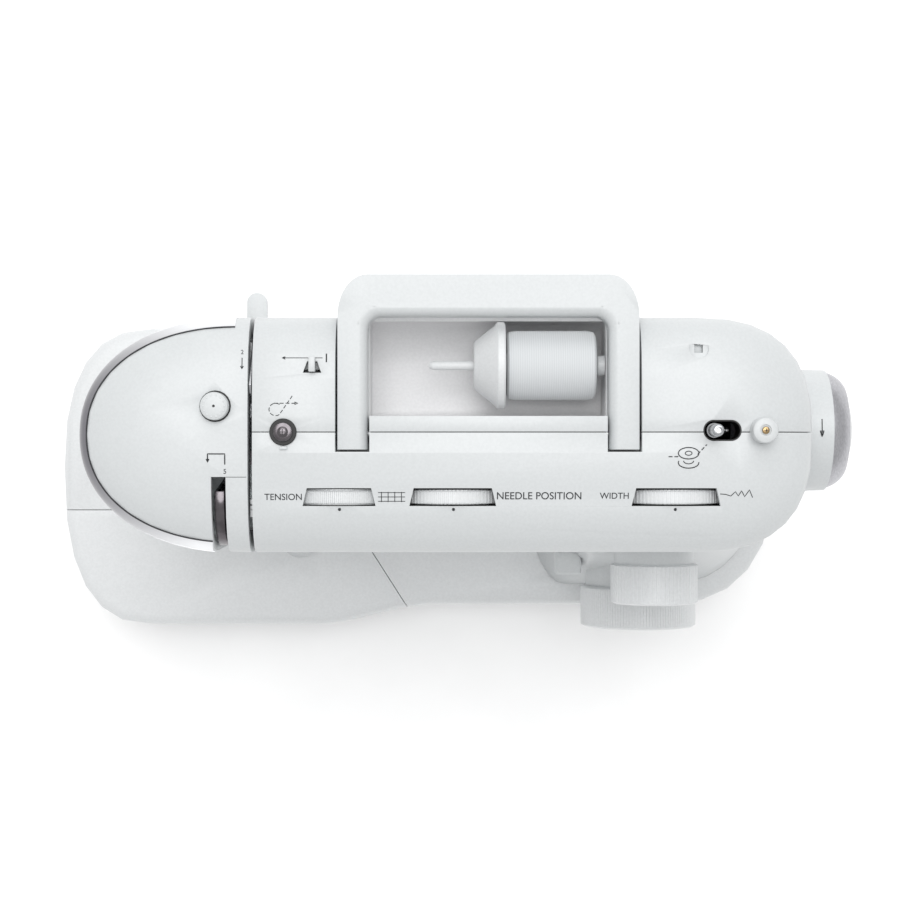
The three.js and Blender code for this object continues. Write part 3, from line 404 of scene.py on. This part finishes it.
# ---- Spool pin, thread spool and spool cap ----
# A moulded pin stands out of the bay's right wall. On it are a cross-wound spool of white polyester thread
# and a push-on cap with a wide flange and a cone, which keeps the spool from creeping off.
def turned(profile, axis, centre, steps=64):
    """Spins a profile of (radius, along) points round an axis through centre. Sizes are in millimetres."""
    bpy.ops.object.select_all(action="DESELECT")
    bpy.ops.mesh.primitive_plane_add(size=0.001, location=(0, 0, 0))
    piece = bpy.context.object
    along = {"x": Vector((1, 0, 0)), "y": Vector((0, 1, 0)), "z": Vector((0, 0, 1))}[axis]
    out = Vector((0, 0, 1)) if axis != "z" else Vector((1, 0, 0))
    points = [Vector(centre) / 1000 + out * r / 1000 + along * t / 1000 for r, t in profile]
    bpy.ops.object.mode_set(mode="EDIT")
    bpy.ops.mesh.select_mode(type="VERT")
    bpy.ops.mesh.select_all(action="SELECT")
    bpy.ops.mesh.merge(type="CENTER")
    bpy.ops.transform.translate(value=points[0])
    for before, after in zip(points, points[1:]):
        bpy.ops.mesh.extrude_region_move(TRANSFORM_OT_translate={"value": after - before})
    bpy.ops.mesh.select_all(action="SELECT")
    bpy.ops.mesh.spin(steps=steps, angle=2 * math.pi, center=Vector(centre) / 1000, axis=along)
    bpy.ops.mesh.select_all(action="SELECT")
    bpy.ops.mesh.remove_doubles(threshold=0.000005)
    bpy.ops.mesh.normals_make_consistent(inside=False)
    bpy.ops.object.mode_set(mode="OBJECT")
    bpy.ops.object.shade_smooth_by_angle(angle=math.radians(32))
    return piece


def middle_mm(node):
    """The middle of a CAD node's box, in millimetres."""
    low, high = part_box(node)
    return (low + high) * 500


spool_low, spool_high = (corner * 1000 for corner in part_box("thread_spool"))
spool_middle = middle_mm("thread_spool")
spool_r = (spool_high.z - spool_low.z) / 2
half = (spool_high.x - spool_low.x) / 2
thread, thread_shader, thread_place = surface("wound_polyester_thread", "C3C7C9", 0.7, Sheen_Weight=0.3)
# Thread 0.2 mm thick, drawn as turns about 1 mm apart so that the winding shows. A wave's bands repeat
# every pi / 10 of its scaled length.
turn_pitch_mm = 0.9865
winding = add_node(thread, "ShaderNodeTexWave", {"bands_direction": "X", "Distortion": 0.6, "Detail": 2.0,
                   "Scale": 1000 * math.pi / 10 / turn_pitch_mm}, [("Vector", thread_place, "Object")])
cord_relief = add_node(thread, "ShaderNodeBump", {"Strength": 0.25, "Distance": 0.0001},
                       [("Height", winding, "Fac")])
thread.node_tree.links.new(cord_relief.outputs["Normal"], thread_shader.inputs["Normal"])
winding_tone = add_node(thread, "ShaderNodeValToRGB", (), [("Fac", winding, "Fac")])
winding_tone.color_ramp.elements[0].color = linear("C3C6C8")
winding_tone.color_ramp.elements[1].color = linear("CCCFD1")
thread.node_tree.links.new(winding_tone.outputs["Color"], thread_shader.inputs["Base Color"])
wound_in = 4.2
spool = turned([(wound_in, -half + 0.8), (spool_r - 2, -half + 0.3), (spool_r - 0.5, -half + 1.2),
                (spool_r, -half + 4), (spool_r, half - 4), (spool_r - 0.5, half - 1.2),
                (spool_r - 2, half - 0.3), (wound_in, half - 0.8), (wound_in, -half + 0.8)],
               "x", spool_middle, 72)
dress(spool, "wound_thread", "thread_spool", "thread", thread, "thread_spool")
core = turned([(2.6, -half), (5.4, -half), (5.4, half - 0.4), (2.6, half - 0.4), (2.6, -half)],
              "x", spool_middle, 48)
dress(core, "spool_core", "thread_spool", "white_abs", white_abs)

cap_middle = middle_mm("spool_cap")
cap_r, cap_bore = 19.4, 2.3
cap = turned([(cap_bore, -7), (9.8, -7), (11, -6.3), (17.8, 2.3), (18.8, 3), (cap_r, 3.7), (cap_r, 6.3),
              (18.7, 7), (15.5, 7), (15, 6.2), (cap_bore, 6.2), (cap_bore, -7)], "x", cap_middle, 72)
dress(cap, "spool_cap_cone", "spool_cap", "white_abs", lit_white_abs, "spool_cap")
pin_low, pin_high = (corner * 1000 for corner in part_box("spool_pin"))
pin = turned([(0, pin_low.x), (0.9, pin_low.x + 0.15), (1.6, pin_low.x + 0.8), (2, pin_low.x + 2.2),
              (2, pin_high.x - 3.4), (4.2, pin_high.x - 3.2), (4.5, pin_high.x - 2.8), (4.5, pin_high.x),
              (0, pin_high.x)], "x", (0, spool_middle.y, spool_middle.z), 40)
dress(pin, "spool_pin_post", "body", "white_abs", lit_white_abs, "spool_pin")


# ---- Thumbwheels ----
# Three moulded white ABS discs that turn on studs and stand out of slots in the casing. A fine knurl round
# the rim gives a fingertip its grip.
def ribbed_drum(radius, low_y, high_y, x, z, ribs, rise, edge):
    """A cylinder along Y whose every other side face is raised as a rib."""
    bpy.ops.object.select_all(action="DESELECT")
    bpy.ops.mesh.primitive_cylinder_add(vertices=ribs * 2, radius=radius - rise, depth=high_y - low_y,
                                        location=(x, (low_y + high_y) / 2, z), rotation=(math.pi / 2, 0, 0))
    bpy.ops.object.transform_apply(location=True, rotation=True, scale=True)
    drum = bpy.context.object
    pick_faces(drum, lambda c, n: abs(n.y) < 0.5
               and int(math.floor(math.atan2(n.z, n.x) / math.pi * ribs + ribs)) % 2 == 0)
    bpy.ops.mesh.inset(thickness=0.00012, depth=rise, use_individual=True)
    bpy.ops.object.mode_set(mode="OBJECT")
    pick_faces(drum, lambda c, n: abs(n.y) > 0.9)
    bpy.ops.mesh.inset(thickness=edge, depth=edge * 0.6, use_individual=True)
    bpy.ops.mesh.inset(thickness=edge * 2, depth=0, use_individual=True)
    bpy.ops.mesh.inset(thickness=edge, depth=-edge * 0.6, use_individual=True)
    bpy.ops.object.mode_set(mode="OBJECT")
    bpy.ops.object.shade_smooth_by_angle(angle=math.radians(25))
    return drum


for wheel in ("tension_dial", "needle_position_dial", "width_dial"):
    low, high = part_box(wheel)
    disc = ribbed_drum((high.z - low.z) / 2, low.y + 0.0002, high.y - 0.0002, (low.x + high.x) / 2,
                       (low.z + high.z) / 2, 84, 0.00025, 0.0003)
    dress(disc, wheel + "_wheel", wheel, "white_abs", lit_white_abs, wheel)

# ---- Front dials ----
# The stitch length and pattern selectors are moulded white ABS drums, pressed on stems. They are ribbed for
# grip and have a raised face.
for dial, radius, depth in (("length_dial", 0.021, 0.0184), ("pattern_dial", 0.030, 0.020)):
    low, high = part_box(dial)
    drum = ribbed_drum(radius, low.y + 0.0006, low.y + depth, (low.x + high.x) / 2, (low.z + high.z) / 2,
                       64, 0.00022, 0.0012)
    dress(drum, dial + "_knob", dial, "white_abs", lit_white_abs, dial)
    stem = turned([(0, 0), (3.9, 0), (3.9, 20), (3.2, 20.8), (0, 20.8)], "y",
                  (middle_mm(dial).x, (low.y + depth) * 1000 - 1, middle_mm(dial).z), 32)
    dress(stem, dial + "_stem", dial, "white_abs", lit_white_abs)

# ---- Handwheel ----
# A moulded white ABS wheel, fixed on the main shaft's end. A satin-plated ring surrounds its shallow domed
# hub, and gives a soft grey sheen.
hand_low, hand_high = (corner * 1000 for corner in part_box("handwheel"))
shaft = Vector((0, middle_mm("handwheel").y, middle_mm("handwheel").z))
hub_x = hand_high.x
wheel_r = (hand_high.z - hand_low.z) / 2
seat_x, hub_r = hub_x - 13.8, 20.9
hand_wheel = turned([(5, hand_low.x), (wheel_r - 0.8, hand_low.x), (wheel_r, hand_low.x + 0.9),
                     (wheel_r - 0.3, hub_x - 13), (wheel_r - 1.2, seat_x), (hub_r, seat_x),
                     (hub_r, hub_x - 4.9), (19.8, hub_x - 4.2), (18, hub_x - 3.4), (12, hub_x - 1.6),
                     (6, hub_x - 0.5), (0, hub_x), (0, hub_x - 8.4), (4.9, hub_x - 8.4), (5, hand_low.x)],
                    "x", shaft, 96)
dress(hand_wheel, "handwheel_body", "handwheel", "white_abs", white_abs, "handwheel")
plated_ring, ring_shader, ring_place = surface("satin_plated_ring", "B4B4B8", 0.34, 1.0)
speckle(plated_ring, ring_shader, ring_place, 1.6, "BCBCC0", "A6A6AA", 0.002, (6, 1, 1))
ring_low, ring_high = (corner * 1000 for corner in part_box("handwheel_ring"))
ring_bore = 21.2
band = turned([(ring_bore, ring_low.x), (27, ring_low.x), (27.3, ring_low.x + 0.3), (27.1, ring_low.x + 1.6),
               (26.6, ring_low.x + 3), (25.9, ring_low.x + 4.5), (24.9, ring_low.x + 6),
               (23.8, ring_low.x + 7.4), (22.6, ring_low.x + 8.4), (21.8, ring_high.x),
               (ring_bore, ring_high.x - 0.3), (ring_bore, ring_low.x)], "x", shaft, 96)
dress(band, "handwheel_band", "handwheel", "chrome_trim", plated_ring, "handwheel_ring")

# ---- Needle bar, presser bar and foot ----
# Ground steel bars slide in the casting. The needle sits in a clamp with a side screw, and the foot tilts on
# a pin under its ankle, which is screwed to the presser bar.
moulded(["needle_bar", "needle_clamp", "needle"], "needle_bar", "steel", steel, 0.15)
moulded(["presser_bar", "foot_ankle"], "presser_bar", "steel", steel, 0.3)
moulded(["presser_spring"], "body", "steel", steel, 0)
# The foot is nickel plated and polished: darker than the bars, with a sharper highlight.
polished, polished_shader, polished_place = surface("polished_nickel_plate", "625E61", 0.2, 1.0)
speckle(polished, polished_shader, polished_place, 5, "6B676A", "595558", 0.003)
moulded(["presser_foot"], "presser_foot", "chrome_trim", polished, 0.25)
moulded(["presser_lever"], "presser_lever", "white_abs", white_abs, 1.2, 4)

# ---- Take-up lever ----
# A stamped and plated steel lever, a broad plate with a hooked end that rides just under its slot. Its
# outline is given along Y and Z, in metres.
low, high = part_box("take_up_lever")
lever_x = (low.x + high.x) / 2
lever_half = 0.0022
outline = [(0.001, 0.206), (0.005, 0.212), (0.004, 0.222), (-0.004, 0.250), (-0.0085, 0.2795),
           (-0.014, 0.2800), (-0.020, 0.2785), (-0.026, 0.2755), (-0.0305, 0.2700), (-0.0330, 0.2620),
           (-0.0300, 0.2560), (-0.022, 0.250), (-0.010, 0.226), (-0.003, 0.212)]
bpy.ops.object.select_all(action="DESELECT")
bpy.ops.mesh.primitive_plane_add(size=0.001, location=(0, 0, 0))
lever = bpy.context.object
bpy.ops.object.mode_set(mode="EDIT")
bpy.ops.mesh.select_mode(type="VERT")
bpy.ops.mesh.select_all(action="SELECT")
bpy.ops.mesh.merge(type="CENTER")
bpy.ops.transform.translate(value=(lever_x - lever_half, *outline[0]))
for (y0, z0), (y1, z1) in zip(outline, outline[1:]):
    bpy.ops.mesh.extrude_region_move(TRANSFORM_OT_translate={"value": (0, y1 - y0, z1 - z0)})
bpy.ops.mesh.select_all(action="SELECT")
bpy.ops.mesh.edge_face_add()
bpy.ops.mesh.extrude_region_move(TRANSFORM_OT_translate={"value": (lever_half * 2, 0, 0)})
bpy.ops.mesh.select_all(action="SELECT")
bpy.ops.mesh.normals_make_consistent(inside=False)
bpy.ops.object.mode_set(mode="OBJECT")
dress(rounded(lever, 0.0004, 2, 30), "take_up_arm", "take_up_lever", "steel", polished, "take_up_lever")

# ---- Needle plate, bobbin cover, feed dog, hook and bobbin ----
# The plate is brushed stainless steel. Under it a clear acrylic cover shows the drop-in bobbin, which sits in
# a black case inside the steel hook. The feed dog's teeth come up through the plate's slots.
moulded(["needle_plate"], "body", "steel", steel, 0.2)
moulded(["feed_dog"], "feed_dog", "steel", steel, 0.15)
moulded(["rotary_hook"], "hook", "steel", steel, 0.2)
# The black ABS has a fine moulded grain, which keeps its highlight dull.
black_abs, black_shader, black_place = surface("moulded_black_abs", "0C0C0D", 0.5, IOR=1.53)
speckle(black_abs, black_shader, black_place, 0.9, "0F0F10", "09090A", 0.02)
moulded(["bobbin_case"], "hook", "black_plastic", black_abs, 0.2)
# Moulded acrylic is clear and glossy, so what lies under it shows through.
clear, clear_shader, clear_place = surface("clear_moulded_acrylic", "EEF3F4", 0.08, IOR=1.49,
                                           Transmission_Weight=0.85)
speckle(clear, clear_shader, clear_place, 6, "F2F6F7", "E9F0F1", 0.002)
moulded(["bobbin_cover"], "bobbin_cover", "clear_plastic", clear, 0.2)
moulded(["bobbin"], "bobbin", "clear_plastic", clear, 0.15)

# ---- Drive: shafts, belts, motor and casting ----
# Ground steel shafts turn in bearings cut in one die-cast aluminium frame. A toothed belt links the two
# shafts, and a second belt brings the motor's drive. Nothing of it is painted.
cast_metal, cast_shader, cast_place = surface("die_cast_aluminium", "93959A", 0.5, 1.0)
speckle(cast_metal, cast_shader, cast_place, 1.5, "9C9EA2", "86888C", 0.06)
moulded(["main_casting"], "body", "cast_aluminium", cast_metal, 0.5)
moulded(["main_shaft"], "handwheel", "steel", steel, 0.3)
moulded(["lower_shaft"], "lower_shaft", "steel", steel, 0.3)
moulded(["motor_pulley"], "motor_pulley", "steel", steel, 0.3)
moulded(["timing_belt", "motor_belt"], "body", "rubber", rubber, 0.2)
moulded(["motor"], "body", "black_plastic", black_abs, 0.6)

# ---- Electrical pieces ----
# A black ABS power inlet and rocker switch are clipped into the rear casing, and a lamp with a clear lens
# hangs in the head.
moulded(["power_inlet"], "body", "black_plastic", black_abs, 0.5)
moulded(["power_switch"], "power_switch", "black_plastic", black_abs, 0.8, 3)
moulded(["reverse_button"], "reverse_button", "white_abs", white_abs, 1.2, 4)
# A fixed white stop stands behind the reverse button and closes its window.
button = middle_mm("reverse_button") / 1000
button_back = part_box("reverse_button")[1].y
stop_block = block((button.x - 0.0067, button_back + 0.0034, button.z - 0.0102),
                   (button.x + 0.0067, button_back + 0.018, button.z + 0.0102))
dress(rounded(stop_block, 0.0005, 2), "reverse_button_stop", "body", "white_abs", white_abs)
moulded(["sewing_lamp"], "body", "clear_plastic", clear, 0.3)

# ---- Small pieces on the top ----
# The pressure dial, the bobbin winder with its stopper, the bobbin tension disc and the thread guides. They
# are white mouldings and turned steel pieces, set in the casing's top. Heights here are in millimetres.
presser = middle_mm("presser_pressure_dial")
dial_low, dial_high = (corner * 1000 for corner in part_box("presser_pressure_dial"))
skirt_z = 280
pressure = turned([(0, dial_low.z), (4, dial_low.z), (4, skirt_z), (6, skirt_z), (6.1, skirt_z + 0.4),
                   (6.1, dial_high.z - 1.4), (5.8, dial_high.z - 0.6), (5.1, dial_high.z - 0.3),
                   (3.6, dial_high.z), (0, dial_high.z)], "z", (presser.x, presser.y, 0), 72)
dress(pressure, "pressure_knob", "pressure_dial", "white_abs", white_abs, "presser_pressure_dial")
well_in, well_out, well_low, well_high = 6.2, 6.88, 276, 284.1
well = turned([(well_in, well_low), (well_out, well_low), (well_out, well_high), (well_in, well_high),
               (well_in, well_low)], "z", (presser.x, presser.y, 0), 72)
dress(well, "pressure_dial_well", "body", "black_plastic", black_abs)
dot = turned([(0, dial_high.z - 0.4), (0.6, dial_high.z - 0.4), (0.6, dial_high.z + 0.04),
              (0, dial_high.z + 0.06)], "z", (presser.x, presser.y, 0), 20)
dress(dot, "pressure_dial_dot", "pressure_dial", "black_plastic", black_abs)
knurl_r, bumps = 4.6, 14
for i in range(bumps):
    turn = 2 * math.pi * i / bumps
    x, y = presser.x + knurl_r * math.cos(turn), presser.y + knurl_r * math.sin(turn)
    bump = turned([(0, dial_high.z - 0.5), (0.55, dial_high.z - 0.4), (0.4, dial_high.z - 0.05),
                   (0, dial_high.z)], "z", (x, y, 0), 10)
    dress(bump, f"pressure_knob_bump_{i + 1}", "pressure_dial", "white_abs", white_abs)

winder = middle_mm("winder_spindle")
spindle = turned([(0, 272), (3, 272), (3, 281.4), (3.3, 281.6), (3.3, 285.6), (3.1, 286), (2.8, 286.2),
                  (2.7, 297), (2.4, 299), (1.9, 299.9), (1.3, 300), (1.2, 297), (0, 296.9)],
                 "z", (winder.x, winder.y, 0), 48)
dress(spindle, "winder_post", "winder_spindle", "steel", steel, "winder_spindle")
slot_half, bore_half = 0.0045, 0.0040
slot_left, slot_right = winder.x / 1000 - slot_half, (winder.x + 12) / 1000


def pill(half_width, low_z, high_z):
    """A block with half-round ends, along X, round the winder's slot."""
    piece = block((slot_left + slot_half - half_width, winder.y / 1000 - half_width, low_z),
                  (slot_right - slot_half + half_width, winder.y / 1000 + half_width, high_z))
    round_edges(piece, lambda a, b: upright(a, b, 0.001), half_width - 0.00002, 10)
    return piece


liner = pill(slot_half, 0.2705, 0.28425)
bore = pill(bore_half, 0.2600, 0.2900)
only(liner)
hollow = liner.modifiers.new("hollow", "BOOLEAN")
hollow.object = bore
hollow.operation = "DIFFERENCE"
bpy.ops.object.modifier_apply(modifier="hollow")
bpy.data.objects.remove(bore)
dress(liner, "winder_slot_liner", "body", "black_plastic", black_abs)
# The square hole for a second spool pin has a floor. The hole's middle and half its side are in metres.
hole_x, hole_y, hole_half, hole_floor_top = 0.1200, 0.0538, 0.0018, 0.2785
hole_floor = block((hole_x - hole_half, hole_y - hole_half, hole_floor_top - 0.001),
                   (hole_x + hole_half, hole_y + hole_half, hole_floor_top))
dress(rounded(hole_floor, 0.0002, 2), "square_hole_floor", "body", "white_abs", white_abs)

stop_low, stop_high = (corner * 1000 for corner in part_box("winder_stopper"))
stop = middle_mm("winder_stopper")
stopper = turned([(0, stop_low.z), (5.3, stop_low.z), (5.6, stop_low.z + 0.4), (5.6, stop_high.z - 1),
                  (5.2, stop_high.z - 0.3), (4.6, stop_high.z), (2.5, stop_high.z), (2.5, stop_high.z - 0.6),
                  (0, stop_high.z - 0.6)], "z", (stop.x, stop.y, 0), 56)
dress(stopper, "winder_stop", "body", "white_abs", white_abs, "winder_stopper")
# The stopper's screw is turned brass: a warm tone with a small bright highlight.
brass, brass_shader, brass_place = surface("turned_brass", "A48C68", 0.25, 1.0)
speckle(brass, brass_shader, brass_place, 0.5, "AB936F", "98805C", 0.006)


def cross_screw(name, x, y, top, radius, body, slot, material, node=None):
    """A pan-head screw with a cross sunk in its head."""
    head = turned([(0, top - 1.0), (radius, top - 1.0), (radius, top - 0.5), (radius * 0.8, top - 0.12),
                   (radius * 0.4, top), (0, top)], "z", (x, y, 0), 40)
    dress(head, name, body, slot, material, *([node] if node else []))
    for i, (wide, deep) in enumerate(((radius * 1.1, 0.35), (0.35, radius * 1.1))):
        bar = block(((x - wide / 2) / 1000, (y - deep / 2) / 1000, (top - 0.4) / 1000),
                    ((x + wide / 2) / 1000, (y + deep / 2) / 1000, (top + 0.02) / 1000))
        dress(rounded(bar, 0.00004, 1), f"{name}_cross_{i + 1}", body, "black_plastic", black_abs)


cross_screw("stopper_screw_head", stop.x, stop.y, stop_high.z + 0.9, 1.6, "body", "brass", brass,
            "stopper_screw")

disc_at = middle_mm("bobbin_tension_disc")
disc_low, disc_high = (corner * 1000 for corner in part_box("bobbin_tension_disc"))
seat_bore = 2.9
seat = turned([(seat_bore, 283), (5.9, 284.6), (5.9, 285.6), (5.6, 286), (seat_bore, 286), (seat_bore, 283)],
              "z", (disc_at.x, disc_at.y, 0), 48)
dress(seat, "tension_disc_seat", "body", "black_plastic", black_abs)
plate_ring = turned([(0, disc_low.z), (2.4, disc_low.z), (2.4, 286.2), (4.0, 286.3), (4.2, 286.9),
                     (3.9, 287.4), (3.0, 287.6), (0, 287.7)], "z", (disc_at.x, disc_at.y, 0), 56)
dress(plate_ring, "bobbin_tension_plate", "body", "steel", polished, "bobbin_tension_disc")
cross_screw("tension_disc_screw", disc_at.x, disc_at.y, disc_high.z + 0.2, 2.4, "body", "steel", polished)
lug = block(((disc_at.x - 1.4) / 1000, (disc_at.y - 7.6) / 1000, 0.2843),
            ((disc_at.x + 1.8) / 1000, (disc_at.y - 6.2) / 1000, 0.2862))
dress(rounded(lug, 0.0003, 2), "tension_disc_lug", "body", "white_abs", white_abs)

moulded(["thread_guide"], "body", "white_abs", white_abs, 0.3)
moulded(["thread_slot_guide"], "body", "steel", steel, 0.2)
guide = middle_mm("thread_guide")
pocket = block(((guide.x - 3.6) / 1000, 0.0446, 0.2772), ((guide.x + 3.6) / 1000, 0.0482, 0.2788))
dress(rounded(pocket, 0.0003, 2), "guide_pocket_floor", "body", "white_abs", white_abs)


# ---- Printed marks ----
# Pad-printed grey ink: the words and small diagrams that tell what each control does. The ink is a thin
# raised film, so it follows the crowned casing and catches no highlight.
ink, ink_shader, ink_place = surface("grey_pad_print_ink", "222427", 0.6)
speckle(ink, ink_shader, ink_place, 0.8, "26282B", "1D1F22", 0.005)
shells = [bpy.data.objects[name + "_shell"] for name in ("front_casing", "rear_casing", "face_cover")]


def top_of(x, y):
    """Height in metres of the casing's outer surface at a place in millimetres."""
    found = [0.27]
    for shell in shells:
        hit, place, _, _ = shell.ray_cast(Vector((x / 1000, y / 1000, 0.4)), Vector((0, 0, -1)))
        if hit and place.z > 0.262:
            found.append(place.z)
    return max(found)


def ink_line(name, points, width=0.3, closed=False, dashed=False, height=top_of, body="body"):
    """A printed line through points in millimetres, laid on the top in steps of about 1 mm."""
    if closed:
        points = [*points, points[0]]
    walk = []
    for (x0, y0), (x1, y1) in zip(points, points[1:]):
        count = max(1, int(math.hypot(x1 - x0, y1 - y0) / 0.8))
        walk += [(x0 + (x1 - x0) * i / count, y0 + (y1 - y0) * i / count) for i in range(count)]
    walk.append(points[-1])
    step = 3 if dashed else len(walk)
    data = bpy.data.curves.new(name, "CURVE")
    data.dimensions = "3D"
    data.bevel_depth = width / 1500
    data.bevel_resolution = 1
    for start in range(0, len(walk) - 1, step):
        part = walk[start:start + step]
        if len(part) < 2:
            continue
        spline = data.splines.new("POLY")
        spline.points.add(len(part) - 1)
        for point, (x, y) in zip(spline.points, part):
            point.co = (x / 1000, y / 1000, height(x, y), 1)
    line = bpy.data.objects.new(name, data)
    bpy.context.collection.objects.link(line)
    only(line)
    bpy.ops.object.convert(target="MESH")
    dress(bpy.context.object, name, body, "black_plastic", ink)


def ellipse(x, y, rx, ry, count=20):
    """Points round an ellipse, in millimetres."""
    turns = [2 * math.pi * i / count for i in range(count)]
    return [(x + rx * math.cos(turn), y + ry * math.sin(turn)) for turn in turns]


def words(name, text, left, right, middle_y):
    """Text stretched to its real width and laid on the casing."""
    bpy.ops.object.select_all(action="DESELECT")
    bpy.ops.object.text_add(location=(0, 0, 0))
    label = bpy.context.object
    label.data.body = text
    label.data.offset = 0.006
    bpy.ops.object.convert(target="MESH")
    label = bpy.context.object
    xs = [v.co.x for v in label.data.vertices]
    ys = [v.co.y for v in label.data.vertices]
    size = (right - left) / 1000 / (max(xs) - min(xs))
    label.location = (left / 1000 - min(xs) * size, middle_y / 1000 - (min(ys) + max(ys)) / 2 * size, 0.3)
    label.scale = (size, size, size)
    bpy.ops.object.transform_apply(location=True, rotation=True, scale=True)
    for vertex in label.data.vertices:
        vertex.co.z = top_of(vertex.co.x * 1000, vertex.co.y * 1000) + 0.00006
    dress(label, name, "body", "black_plastic", ink)


words("word_tension", "TENSION", -69.2, -52.9, -10.9)
words("word_needle_position", "NEEDLE POSITION", 31.9, 68.6, -10.4)
words("word_width", "WIDTH", 76.6, 89.2, -10.4)
words("figure_1", "1", -42.6, -42.0, 49.6)
words("figure_2", "2", -79.6, -78.4, 52.2)
words("figure_5", "5", -86.9, -85.7, 0.2)
for i, y in enumerate((-9.0, -10.9, -12.8)):
    ink_line(f"stitch_grid_row_{i + 1}", [(-19.8, y), (-8.0, y)], 0.25)
for i in range(4):
    ink_line(f"stitch_grid_column_{i + 1}", [(-18.3 + i * 2.9, -8.7), (-18.3 + i * 2.9, -13.1)], 0.25)
ink_line("zigzag_mark", [(128.9, -9.6), (131.4, -9.8), (133.6, -10.5), (135.6, -8.6), (136.9, -10.5),
                         (138.3, -8.2), (139.7, -10.8), (141.8, -7.8), (143.2, -11.2)], 0.28)
ink_line("guide_arrow_line", [(-44.0, 49.6), (-61.4, 49.6)], 0.25)
ink_line("guide_arrow_head", [(-60.2, 50.1), (-61.6, 49.6), (-60.2, 49.1)], 0.35)
ink_line("thread_loop", [*ellipse(-64.2, 27.1, 2.9, 2.7)[3:17], (-62.6, 24.9), (-57.0, 33.0)], 0.28,
         dashed=True)
ink_line("thread_loop_arrow", [(-65.0, 29.8), (-54.8, 29.8)], 0.28, dashed=True)
ink_line("thread_loop_arrow_head", [(-56.0, 30.3), (-54.6, 29.8), (-56.0, 29.3)], 0.35)
ink_line("slot_arrow", [(-79.0, 49.6), (-79.0, 45.0)], 0.3)
ink_line("slot_arrow_head", [(-79.6, 46.0), (-79.0, 44.8), (-78.4, 46.0)], 0.35)
ink_line("lever_arrow", [(-86.3, 3.2), (-86.3, 7.8), (-93.8, 7.8), (-93.8, 4.6)], 0.4)
ink_line("lever_arrow_head", [(-94.4, 5.6), (-93.8, 4.2), (-93.2, 5.6)], 0.4)
ink_line("bobbin_mark_top", ellipse(115.1, 8.1, 4.5, 2.5), 0.35, closed=True)
ink_line("bobbin_mark_eye", ellipse(115.1, 8.1, 1.5, 0.9, 12), 0.3, closed=True)
ink_line("bobbin_mark_bottom", ellipse(115.1, 4.0, 4.5, 2.4)[9:] + [(119.6, 4.2)], 0.35)
ink_line("bobbin_mark_core", ellipse(115.1, 4.8, 2.2, 1.3)[10:] + [(117.3, 4.8)], 0.3)
ink_line("bobbin_mark_tail", [(106.4, 6.6), (110.6, 6.6)], 0.35, dashed=True)
ink_line("bobbin_mark_lead", [(119.0, 7.6), (123.0, 11.9)], 0.35, dashed=True)
for name, x in (("tension", -36.6), ("needle_position", 13.0), ("width", 109.6)):
    ink_line(f"{name}_dot", ellipse(x, -16.4, 0.32, 0.32, 8), 0.62, closed=True)


def wheel_top(x, y):
    """Height in metres of the handwheel's rim at a place in millimetres."""
    return (shaft.z + math.sqrt((wheel_r - 0.3) ** 2 - (y - shaft.y) ** 2)) / 1000


ink_line("turning_arrow", [(181.3, 23.6), (181.3, 17.4)], 0.5, height=wheel_top, body="handwheel")
ink_line("turning_arrow_head", [(180.5, 18.2), (181.3, 15.6), (182.1, 18.2), (180.5, 18.2), (181.3, 16.4)],
         0.6, height=wheel_top, body="handwheel")
ink_line("face_cover_joint", [(-85.8, -2.3), (-77.0, -2.3)], 0.18)
